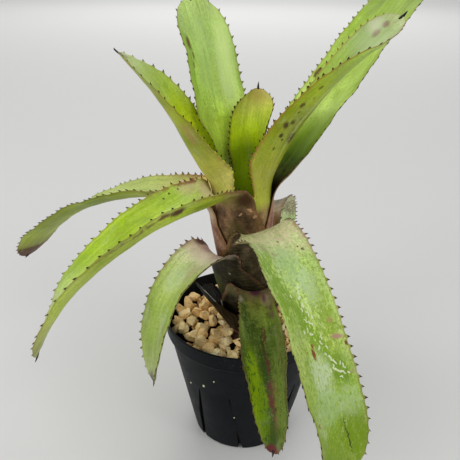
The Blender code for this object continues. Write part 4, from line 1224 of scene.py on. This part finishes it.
def make_leaves():
    for name, leaf in LEAVES.items():
        ribbon = Ribbon(leaf)
        pile = Pile()
        leaf_body(pile, ribbon)
        leaf_teeth(pile, ribbon)
        end_spine(pile, ribbon, FORKED_TIP if name == "upper_left_leaf" else SINGLE_TIP)
        piece = pile.build(name.replace("_leaf", "_blade"))
        dress(piece, LeafSkin(name, leaf, LOOKS[name]).finish(), name)


# Pot

POT_SIDES = 288
POT_LIP_STEPS = 5
POT_LIP = 0.7
POT_WALL_STEP = 4.0
LOBE_MIDDLES = [LOBE_AZIMUTH + 360.0 / LOBES * lobe for lobe in range(LOBES)]
LOBE_BULGE = 1.0            # how far a lobe's middle stands out of the tapered wall
NOTCH_STEPS = 24
GRAIN_SIZE = 0.45
POT_BLACK = (0.0052, 0.0062, 0.0080, 1.0)
POT_SLATE = (0.0092, 0.0105, 0.0130, 1.0)


def pot_outer_radius(height):
    """The tapered wall under the band."""
    wall_top = POT_RIM_RADIUS - POT_BAND_STEP - POT_BAND_DEPTH * 0.1
    share = height / (POT_HEIGHT - POT_BAND_DEPTH)
    return POT_FOOT_RADIUS + (wall_top - POT_FOOT_RADIUS) * share


def pot_inner_radius(height):
    band_foot = POT_HEIGHT - POT_BAND_DEPTH
    wall_top = pot_outer_radius(band_foot)
    if height > band_foot - POT_WALL:
        share = (height - band_foot + POT_WALL) / (POT_HEIGHT - band_foot + POT_WALL)
        return (wall_top - POT_WALL) * (1 - share) + (POT_RIM_RADIUS - POT_WALL) * share
    share = (height - POT_BASE_PLATE) / (band_foot - POT_WALL - POT_BASE_PLATE)
    return (pot_outer_radius(POT_BASE_PLATE) - POT_WALL) * (1 - share) + (wall_top - POT_WALL) * share


def arc(middle, radius, start, stop, steps):
    """Profile points round a corner, with angles in degrees from outwards towards up."""
    angles = np.radians(np.linspace(start, stop, steps + 1))
    return [(middle[0] + radius * math.cos(angle), middle[1] + radius * math.sin(angle)) for angle in angles]


def pot_profile():
    """From the middle of the base's underside, up the outside, over the rim and down to the floor inside."""
    band_foot = POT_HEIGHT - POT_BAND_DEPTH
    wall_top = pot_outer_radius(band_foot)
    foot = (POT_FOOT_RADIUS - POT_LIP, POT_LIP)
    profile = [(0.0, 0.0), (CUT_RADIUS, 0.0)]
    profile += arc(foot, POT_LIP, -90.0, 0.0, POT_LIP_STEPS)
    for height in np.arange(POT_WALL_STEP, band_foot - 1.0, POT_WALL_STEP):
        profile.append((pot_outer_radius(height), float(height)))
    profile.append((wall_top, band_foot - 0.2))
    profile += arc((wall_top, band_foot + POT_BAND_STEP), POT_BAND_STEP, -80.0, 0.0, 2 * POT_LIP_STEPS)
    band_face = POT_RIM_RADIUS - 0.5
    profile.append((band_face - 0.3, POT_HEIGHT - 6.0))
    profile.append((band_face, POT_HEIGHT - 3.0))
    profile += arc((POT_RIM_RADIUS - POT_WALL / 2, POT_HEIGHT - POT_WALL / 2), POT_WALL / 2, -60.0, 180.0, 12)
    profile.append((wall_top - POT_WALL, band_foot - POT_WALL))
    profile.append((pot_inner_radius(POT_BASE_PLATE), POT_BASE_PLATE))
    profile.append((0.0, POT_BASE_PLATE))
    return profile


def turned_points(profile, sides):
    """Points and faces of a turned solid whose profile runs from axis to axis."""
    points = [(0.0, 0.0, profile[0][1])]
    faces = []
    for radius, height in profile[1:-1]:
        for side in range(sides):
            angle = math.tau * side / sides
            points.append((radius * math.cos(angle), radius * math.sin(angle), height))
    points.append((0.0, 0.0, profile[-1][1]))
    rings = len(profile) - 2
    for side in range(sides):
        following = (side + 1) % sides
        faces.append((0, 1 + following, 1 + side))
        for ring in range(rings - 1):
            low = 1 + ring * sides
            high = low + sides
            faces.append((low + side, low + following, high + following, high + side))
        last = 1 + (rings - 1) * sides
        faces.append((last + side, last + following, len(points) - 1))
    return np.array(points), faces


def bulge_lobes(points):
    """Pushes the outside of each panel between two slits out in a soft curve."""
    for point in points:
        radius = math.hypot(point[0], point[1])
        if point[2] >= SLIT_TOP or radius < pot_outer_radius(point[2]) - 0.5 * POT_WALL:
            continue
        azimuth = math.degrees(math.atan2(point[1], point[0]))
        up = point[2] / SLIT_TOP
        half = LOBE_HALF_FOOT + (LOBE_HALF_TOP - LOBE_HALF_FOOT) * up
        for middle in LOBE_MIDDLES:
            aside = (azimuth - middle + 180.0) % 360.0 - 180.0
            if abs(aside) < half:
                swell = LOBE_BULGE * math.cos(math.pi / 2 * aside / half)
                point[:2] *= 1.0 + swell * math.sin(math.pi * (1.0 - up) ** 0.6) / radius


def around(radius, azimuth, height, sideways=0.0):
    angle = math.radians(azimuth)
    return (radius * math.cos(angle) - sideways * math.sin(angle),
            radius * math.sin(angle) + sideways * math.cos(angle),
            height)


def loop_solid(points, faces, loops):
    """Adds a closed solid through four-cornered loops."""
    first = len(points)
    for loop in loops:
        points.extend(loop)
    faces.append([first + corner for corner in (3, 2, 1, 0)])
    for step in range(len(loops) - 1):
        here = first + 4 * step
        for corner in range(4):
            following = (corner + 1) % 4
            faces.append([here + corner, here + following, here + 4 + following, here + 4 + corner])
    faces.append([first + 4 * (len(loops) - 1) + corner for corner in (0, 1, 2, 3)])


def slit_cutters():
    """Two slits at the edges of each lobe, wider at the foot."""
    points, faces = [], []
    for middle in LOBE_MIDDLES:
        for hand in (-1, 1):
            top = middle + hand * LOBE_HALF_TOP
            foot = middle + hand * LOBE_HALF_FOOT
            loops = []
            for radius in (CUT_RADIUS, POT_RIM_RADIUS + 1.0):
                loops.append([
                    around(radius, foot, -1.0, -SLIT_WIDTH_FOOT / 2),
                    around(radius, foot, -1.0, SLIT_WIDTH_FOOT / 2),
                    around(radius, top, SLIT_TOP, SLIT_WIDTH_TOP / 2),
                    around(radius, top, SLIT_TOP, -SLIT_WIDTH_TOP / 2)])
            loop_solid(points, faces, loops)
    return points, faces


def notch_cutters():
    """The room under each lobe."""
    points, faces = [], []
    for middle in LOBE_MIDDLES:
        loops = []
        for share in np.linspace(-1.0, 1.0, NOTCH_STEPS + 1):
            azimuth = middle + LOBE_HALF_FOOT * share
            loops.append([
                around(CUT_RADIUS, azimuth, -1.0), around(POT_RIM_RADIUS, azimuth, -1.0),
                around(POT_RIM_RADIUS, azimuth, LOBE_LIFT), around(CUT_RADIUS, azimuth, LOBE_LIFT)])
        loop_solid(points, faces, loops)
    return points, faces


def cut_away(item, name, points, faces):
    """Cuts closed shapes out of a piece."""
    cutter = mesh_object(name, points, faces, {})
    modifier = item.modifiers.new(name, "BOOLEAN")
    modifier.operation = "DIFFERENCE"
    modifier.solver = "MANIFOLD"
    modifier.object = cutter
    graph = bpy.context.evaluated_depsgraph_get()
    mesh = bpy.data.meshes.new_from_object(item.evaluated_get(graph))
    item.modifiers.clear()
    mesh.materials.clear()
    item.data = mesh
    bpy.data.objects.remove(cutter, do_unlink=True)


def pot_material():
    material, shader = new_material("pot_moulded_plastic")
    place = millimetres(material)
    grain = place.cloud(1.0 / GRAIN_SIZE, 3.0, 0.6)
    unevenness = place.cloud(0.06 / GRAIN_SIZE, 4.0)
    colour = unevenness.mix(unevenness.between(0.35, 0.7), POT_BLACK, POT_SLATE)
    dust, = place.effect("stains", size=2.2, cover=0.28, seed=4.0)
    dusty = dust * place.cloud(0.05).between(0.42, 0.7) * 0.10
    colour = colour.tinted(dusty, DUST_GREY)
    dried = place.cells(0.42).between(0.16, 0.1) * place.cloud(0.11).between(0.56, 0.66)
    colour = colour.tinted(dried * 0.22, DUST_GREY)
    roughness = unevenness.ranged(0.3, 0.7, 0.40, 0.56) + dusty * 1.5
    feed(shader, {
        "Base Color": colour, "Roughness": roughness, "Specular IOR Level": 0.08,
        "Normal": grain.bumped(0.10, 0.55)})
    return material


def make_pot():
    points, faces = turned_points(pot_profile(), POT_SIDES)
    bulge_lobes(points)
    pot = mesh_object("slit_pot", points, faces, {})
    cut_away(pot, "notch_cutter", *notch_cutters())
    cut_away(pot, "slit_cutter", *slit_cutters())
    pot.data.shade_smooth()
    pot.data.set_sharp_from_angle(angle=math.radians(32.0))
    dress(pot, pot_material(), "pot")


# Gravel

BED_LEVEL = 77.5                # the level of the near-black filling that shows between the stones; its colour is painted shade
BED_SIDE_GAP = 0.6
BED_FOOT_GAP = 0.3
BED_SIDES = 120
CRUMB_HEIGHT = 1.5
STONE_TOP = 88.8                # no stone reaches higher than this
# Two layers of stones: number, smallest and largest width, room from the stem's middle, level and detail
STONE_LAYERS = [
    (90, (5.0, 9.0), 15.6, 80.6, 3),
    (134, (6.0, 10.8), 13.2, 84.6, 4),
]
STONE_CLOSENESS = 0.8           # how near two stones come, as a share of their mean width
DART_TRIES = 9000
STONE_CUTS = 15                 # flat faces broken off a stone
STONE_PITS = 7
GRAVEL_SEED = 5


def ball(subdivisions):
    """Points and faces of a ball of radius 1 with even triangles."""
    work = bmesh.new()
    bmesh.ops.create_icosphere(work, subdivisions=subdivisions, radius=1.0)
    points = np.array([vert.co[:] for vert in work.verts])
    faces = [tuple(vert.index for vert in face.verts) for face in work.faces]
    work.free()
    return points, faces


def any_direction(rng):
    height = rng.uniform(-1.0, 1.0)
    angle = rng.uniform(0.0, math.tau)
    flat = math.sqrt(1.0 - height * height)
    return np.array((flat * math.cos(angle), flat * math.sin(angle), height))


def stone_points(rng, unit, size):
    """A broken, pitted stone: a ball with flat cuts, a rough skin and a few holes."""
    points = unit.copy()
    for _ in range(STONE_CUTS):
        direction = any_direction(rng)
        over = points @ direction - rng.uniform(0.46, 0.84)
        points = points - direction * (np.maximum(over, 0.0) * 0.97)[:, None]
    shift = Vector((rng.uniform(0, 90), rng.uniform(0, 90), rng.uniform(0, 90)))
    rough = np.array([noise.fractal(Vector(point) * 2.6 + shift, 0.8, 2.2, 4) for point in points])
    points = points * (1.16 + 0.05 * rough)[:, None]
    for _ in range(STONE_PITS):
        middle = points[rng.randrange(len(points))]
        reach = rng.uniform(0.16, 0.36)
        near = np.linalg.norm(points - middle, axis=1) / reach
        points = points * (1.0 - 0.2 * reach / 0.3 * np.exp(-near ** 2 * 2.2))[:, None]
    stretch = np.array((1.0, rng.uniform(0.68, 0.98), rng.uniform(0.6, 0.86)))
    lean = Vector(any_direction(rng)).rotation_difference(Vector((0.0, 0.0, 1.0))).to_matrix()
    if rng.random() < 0.6:
        lean = Vector((rng.uniform(-0.4, 0.4), rng.uniform(-0.4, 0.4), 1.0)).rotation_difference(
            Vector((0.0, 0.0, 1.0))).to_matrix()
    turn = rng.uniform(0.0, math.tau)
    cosine, sine = math.cos(turn), math.sin(turn)
    spin = np.array(((cosine, -sine, 0.0), (sine, cosine, 0.0), (0.0, 0.0, 1.0)))
    return (points * stretch * size / 2) @ np.array(lean).T @ spin.T


def dart_places(rng, count, sizes, stem_room):
    """Middles and widths of stones, placed by throwing darts, largest first."""
    places = []
    widths = sorted((rng.uniform(*sizes) for _ in range(count)), reverse=True)
    tries = 0
    for width in widths:
        wall = pot_inner_radius(GRAVEL_LEVEL) - BED_SIDE_GAP - width * 0.47
        while tries < DART_TRIES:
            tries += 1
            radius = wall * math.sqrt(rng.random())
            angle = rng.uniform(0.0, math.tau)
            x, y = radius * math.cos(angle), radius * math.sin(angle)
            if math.hypot(x - STEM_FOOT[0], y - STEM_FOOT[1]) < stem_room + width * 0.45:
                continue
            if all(math.hypot(x - other[0], y - other[1]) > STONE_CLOSENESS * (width + other[2]) / 2
                   for other in places):
                places.append((x, y, width))
                break
    return places


def gravel_heap(x, y):
    """How high the stones lie, in millimetres over the level: slow waves, higher at the left than at the
    right.
    """
    return 0.9 * math.sin(x * 0.06 + 2.2) + 0.7 * math.sin(y * 0.09 - x * 0.03)


def make_gravel_bed(pile):
    """The dark filling between the pot's floor and the stones, with a crumbly top; its near-black colour is
    painted shade.
    """
    bottom = POT_BASE_PLATE + BED_FOOT_GAP
    band_foot = POT_HEIGHT - POT_BAND_DEPTH - POT_WALL
    profile = [(0.0, bottom)]
    for height in (bottom, band_foot, BED_LEVEL):
        profile.append((pot_inner_radius(height) - BED_SIDE_GAP, height))
    for radius in np.arange(pot_inner_radius(BED_LEVEL) - 2.0, 1.0, -1.6):
        profile.append((float(radius), BED_LEVEL))
    profile.append((0.0, BED_LEVEL))
    points, faces = turned_points(profile, BED_SIDES)
    for point in points:
        if point[2] > BED_LEVEL - 0.01 and math.hypot(point[0], point[1]) < pot_inner_radius(BED_LEVEL) - 1.0:
            crumb = noise.fractal(Vector(point) * 0.35, 0.8, 2.0, 4)
            point[2] += CRUMB_HEIGHT * crumb
    pile.add(points, faces, stone_tone=np.full(len(points), -1.0), stone_place=points)


def gravel_material():
    material, shader = new_material("porous_gravel")
    place = attribute(material, "stone_place")
    stone = attribute(material, "stone_tone", "Fac")
    clouds = place.cloud(0.28, 4.0, 0.6)
    pale = place.cloud(0.75, 4.0, 0.65)
    pores = place.cells(0.95).between(0.34, 0.14) * clouds.between(0.38, 0.55)
    grit = place.cloud(2.6, 3.0, 0.7)
    colour = stone.ramp([(0, (216, 178, 116)), (0.25, (238, 204, 144)), (0.5, (248, 220, 166)),
                         (0.75, (244, 208, 152)), (1, (250, 232, 188))])
    colour = colour.tinted(clouds.between(0.4, 0.7), (240, 196, 130))
    colour = colour.tinted(pale.between(0.52, 0.72) * 0.6, (252, 242, 206))
    colour = colour.tinted(pores * 0.6, (110, 78, 42))
    colour = colour.tinted(grit.between(0.4, 0.28) * 0.4, (110, 80, 48))
    # Painted shade: the filling is near black so the gaps between the stones and the slits in the pot read as
    # deep shade.
    painted_shade_bed = place.cloud(0.9, 4.0, 0.7).ramp([(0.4, (14, 9, 3)), (0.65, (36, 24, 12)), (0.8, (74, 54, 32))])
    feed(shader, {
        "Base Color": colour.mix(stone.maths("LESS_THAN", -0.5), colour, painted_shade_bed), "Roughness": 0.9,
        "Specular IOR Level": 0.25, "Normal": (grit * 0.5 - pores + pale * 0.6).bumped(0.55, 0.9)})
    return material


def make_gravel():
    rng = random.Random(GRAVEL_SEED)
    pile = Pile()
    make_gravel_bed(pile)
    layers = [dart_places(rng, *layer[:3]) for layer in STONE_LAYERS]
    for places, (*_, level, subdivisions) in zip(layers, STONE_LAYERS):
        unit, faces = ball(subdivisions)
        for x, y, width in places:
            points = stone_points(rng, unit, width)
            height = level + gravel_heap(x, y) + rng.uniform(-1.0, 1.0)
            height = min(height, STONE_TOP - points[:, 2].max())
            shift = np.array([rng.uniform(0.0, 500.0) for _ in range(3)])
            count = len(points)
            pile.add(
                points + np.array((x, y, height)), faces, stone_tone=np.full(count, rng.random()),
                stone_place=points + shift)
    dress(pile.build("gravel_stones", 30.0), gravel_material(), "gravel")


# Stem and old sheaths

def dress_stem():
    material, shader = new_material("fibrous_stem")
    place = millimetres(material)
    fibres = place.cloud((1.3, 1.3, 0.12), 4.0, 0.65)
    colour = fibres.ramp([(0.3, (36, 22, 10)), (0.5, (82, 56, 34)), (0.72, (128, 98, 64))])
    colour = colour.tinted(place.cloud(0.25).between(0.5, 0.65) * 0.6, (34, 22, 12))
    feed(shader, {"Base Color": colour, "Roughness": 0.85, "Normal": fibres.bumped(0.6, 0.9)})
    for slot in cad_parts["stem_core"].material_slots:
        slot.material = material


SHEET_COLUMNS = 168
SHEET_ROWS = 44
SHEET_THICKNESS = (0.8, 0.3)        # at the foot and at the torn edge
SHEET_FRAY = 0.07                   # how far the torn edge goes up and down, as a share of its height
SHEET_CRINKLE = 0.45
SHEET_RIB = 0.09


def torn_reaches(sheath, full):
    """The height of the torn edge at each of the source's columns."""
    rng = random.Random(sheath.seed)
    reaches = []
    for column in range(OLD_SHEATH_COLUMNS + 1):
        across = 2.0 * column / OLD_SHEATH_COLUMNS - 1.0
        shoulder = 1.0 - OLD_SHEATH_SHOULDER * across ** 4
        reaches.append(full * shoulder * (1.0 - OLD_SHEATH_TEAR * rng.random()))
    return reaches


def torn_sheet(sheath):
    """Both faces of an old sheath: ribbed along its veins, crinkled, with a frayed upper edge."""
    start = layer_start(sheath.layer)
    full = sheath.top - start
    reaches = torn_reaches(sheath, full)
    across = np.linspace(-1.0, 1.0, SHEET_COLUMNS + 1)
    source = np.linspace(-1.0, 1.0, OLD_SHEATH_COLUMNS + 1)
    reach = np.interp(across, source, reaches)
    points, places = [], []
    for column, side in enumerate(across):
        fray = noise.noise(Vector((side * 38.0, sheath.seed, 0.0)))
        fray += 0.5 * noise.noise(Vector((side * 110.0, sheath.seed, 4.0)))
        tall = min(reach[column] * (1.0 + SHEET_FRAY * fray), full)
        angle = math.radians(sheath.azimuth + sheath.wrap * side)
        out = np.array((math.cos(angle), math.sin(angle), 0.0))
        for row in range(SHEET_ROWS + 1):
            up = row / SHEET_ROWS
            height = start + tall * up
            flare = sheath.flare * ((height - start) / full) ** OLD_SHEATH_BEND
            crinkle = noise.fractal(Vector((side * 7.0, height * 0.12, sheath.seed * 3.0)), 0.9, 2.0, 3)
            ribs = math.sin(side * math.radians(sheath.wrap) * 46.0 + 2.0 * crinkle)
            uneven = SHEET_CRINKLE * crinkle + SHEET_RIB * ribs
            radius = sheath_radius(sheath.layer, height) + flare + up * uneven
            middle = stem_axis(height) + out * radius
            half = (SHEET_THICKNESS[0] + (SHEET_THICKNESS[1] - SHEET_THICKNESS[0]) * up) / 2
            for face in (-1, 1):
                points.append(middle + out * (half * face))
                places.append((side * radius * math.radians(sheath.wrap), height - start, sheath.seed * 5.0))
    return points, places


def sheet_faces():
    faces = []
    tall = SHEET_ROWS + 1

    def corner(column, row, face):
        return 2 * (column * tall + row) + face

    for column in range(SHEET_COLUMNS):
        for row in range(SHEET_ROWS):
            for face in (0, 1):
                faces.append((corner(column, row, face), corner(column + 1, row, face),
                              corner(column + 1, row + 1, face), corner(column, row + 1, face)))
        for row in (0, SHEET_ROWS):
            faces.append((corner(column, row, 0), corner(column + 1, row, 0),
                          corner(column + 1, row, 1), corner(column, row, 1)))
    for row in range(SHEET_ROWS):
        for column in (0, SHEET_COLUMNS):
            faces.append((corner(column, row, 0), corner(column, row + 1, 0),
                          corner(column, row + 1, 1), corner(column, row, 1)))
    return faces


def old_sheath_material():
    material, shader = new_material("dry_sheath_skin")
    place = attribute(material, "sheet_place")
    height = place.parts()[1]
    ribs = place.cloud((1.6, 0.07), 4.0, 0.6)
    patches = place.cloud((0.22, 0.14), 4.0, 0.6)
    colour = patches.ramp([(0.3, (12, 8, 3)), (0.5, (22, 15, 6)), (0.66, (38, 27, 15)), (0.82, (76, 56, 42))])
    colour = colour.tinted(height.between(7.0, 1.0) * 0.7, (150, 112, 92))
    colour = colour.tinted(ribs.between(0.6, 0.74) * 0.3, (104, 82, 58))
    # Painted highlight: a white streak down the dark sheath, where it shines.
    painted_highlight_streak, = place.effect(
        "mark", across=-8.8, along=21.0, half_width=0.7, half_length=8.0, turn=-0.16, softness=0.5)
    feed(shader, {
        "Base Color": colour.tinted(painted_highlight_streak, (226, 226, 214)), "Specular IOR Level": 0.12,
        "Roughness": patches.ranged(0.35, 0.65, 0.35, 0.6), "Normal": ribs.bumped(0.4, 0.7)})
    return material


def make_old_sheaths():
    material = old_sheath_material()
    for name, sheath in OLD_SHEATHS.items():
        points, places = torn_sheet(sheath)
        piece = mesh_object(name + "_sheet", points, sheet_faces(), {"sheet_place": places}, 60.0)
        dress(piece, material, name)


# Water

BEAD_SIDES = 12
BEAD_STEPS = 12
BEAD_FOOT = 0.12            # how deep a bead sits in the surface
LEAF_BEAD_HEIGHT = 0.45
LEAF_BEAD_HALF_WIDTHS = (0.24, 0.56)


def bead(pile, path, normals, half_width, height):
    """A rounded bead of water that lies along a path on a surface."""
    path = np.array(path)
    normals = np.array(normals)
    stations = np.linspace(0.0, 1.0, BEAD_STEPS + 1)
    source = np.linspace(0.0, 1.0, len(path))
    centre = np.stack([np.interp(stations, source, path[:, axis]) for axis in range(3)], 1)
    normal = np.stack([np.interp(stations, source, normals[:, axis]) for axis in range(3)], 1)
    forward = np.gradient(centre, axis=0)
    forward /= np.linalg.norm(forward, axis=1)[:, None]
    side = np.cross(forward, normal)
    side /= np.linalg.norm(side, axis=1)[:, None]
    points = []
    for step, share in enumerate(stations):
        full = math.sqrt(max(0.0, 1.0 - (2.0 * share - 1.0) ** 4)) + 0.02
        for turn in np.linspace(0.0, math.tau, BEAD_SIDES, endpoint=False):
            rise = math.sin(turn)
            lift = height * full * rise if rise > 0.0 else BEAD_FOOT * rise
            aside = half_width * full * math.cos(turn)
            points.append(centre[step] + side[step] * aside + normal[step] * lift)
    pile.add(points, tube_faces(len(stations), BEAD_SIDES))


def water_material():
    material, shader = new_material("water_bead")
    wobble = millimetres(material).cloud(1.2, 2.0)
    # The pale lime-white base colour is a painted highlight: it stands in for the glints on the water beads
    # and drops.
    feed(shader, {
        "Base Color": (0.90, 0.98, 0.62, 1.0), "Transmission Weight": 0.15, "IOR": 1.33,
        "Roughness": wobble.ranged(0.3, 0.7, 0.02, 0.08), "Normal": wobble.bumped(0.12, 0.4)})
    return material


# Beads on the big right leaf: across from its middle line, along from its crease, and length
LEAF_TRAILS = [
    (2.6, 85.0, 2.0), (1.6, 87.2, 1.6), (-3.6, 89.0, 1.4), (0.8, 90.0, 2.4), (3.0, 92.0, 3.0),
    (1.2, 93.6, 2.2), (4.0, 95.8, 2.6), (-0.4, 95.6, 1.6), (2.2, 97.6, 3.2), (4.4, 99.4, 1.8),
    (0.6, 101.0, 2.6), (2.6, 102.4, 2.0), (-0.8, 104.4, 2.8), (-3.2, 105.0, 1.4), (1.0, 106.6, 1.4),
    (5.6, 109.4, 2.4), (4.2, 111.4, 1.6), (3.0, 113.4, 1.6), (6.8, 114.4, 1.8), (5.4, 117.0, 1.4),
    (7.2, 119.4, 3.0), (8.6, 121.4, 2.8), (10.6, 122.8, 2.4), (7.0, 123.6, 3.2), (12.2, 124.6, 2.8),
    (9.2, 125.4, 3.4), (11.2, 127.0, 2.6), (13.8, 128.0, 1.6), (5.4, 124.6, 1.6), (9.6, 129.0, 1.6),
]
TRAIL_SEED = 8
# Drops on the pot: azimuth, height and half width
POT_DROPS = [
    (236.0, 58.0, 0.7), (246.5, 66.0, 0.45), (281.0, 74.0, 0.55), (287.0, 62.0, 0.5), (219.0, 52.0, 0.5),
    (262.0, 34.0, 0.4), (300.0, 48.0, 0.4),
]


def leaf_beads(pile):
    """Short crooked beads along the wet trails of the big right leaf."""
    leaf = LEAVES["big_right_leaf"]
    ribbon = Ribbon(leaf)
    rng = random.Random(TRAIL_SEED)
    for start_across, start_along, length in LEAF_TRAILS:
        path, normals = [], []
        lean = rng.uniform(-0.5, 1.1)
        for step in (-0.5, -0.25, 0.0, 0.25, 0.5):
            across = start_across + length * step * lean + rng.uniform(-0.6, 0.6)
            along = start_along + length * step
            row = int(np.argmin(np.abs(ribbon.run - along)))
            share = np.array(across / ribbon.half_width[row])
            wave = leaf_wave(leaf, ribbon.run[row], share, ribbon.share[row])
            low = ribbon.points(row, share, wave)
            high = ribbon.points(row, share, wave + 1.0)
            path.append(low + (high - low) * half_thickness(BLADE_THICKNESS, share))
            normals.append(high - low)
        bead(pile, path, normals, rng.uniform(*LEAF_BEAD_HALF_WIDTHS), LEAF_BEAD_HEIGHT)


def pot_drops(pile):
    for azimuth, height, size in POT_DROPS:
        out = np.array(around(1.0, azimuth, 0.0))
        place = out * pot_outer_radius(height) + np.array((0.0, 0.0, height))
        path = [place + np.array((0.0, 0.0, size * up)) for up in (-1.3, 0.0, 1.1)]
        bead(pile, path, [out] * 3, size, size * 0.6)


def make_water():
    pile = Pile()
    leaf_beads(pile)
    pot_drops(pile)
    water = pile.build("water_beads", 60.0)
    water.data.materials.append(water_material())
    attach(water, BODY)


make_camera()
make_studio()
make_floor()
make_leaves()
make_old_sheaths()
make_pot()
make_gravel()
dress_stem()
make_water()
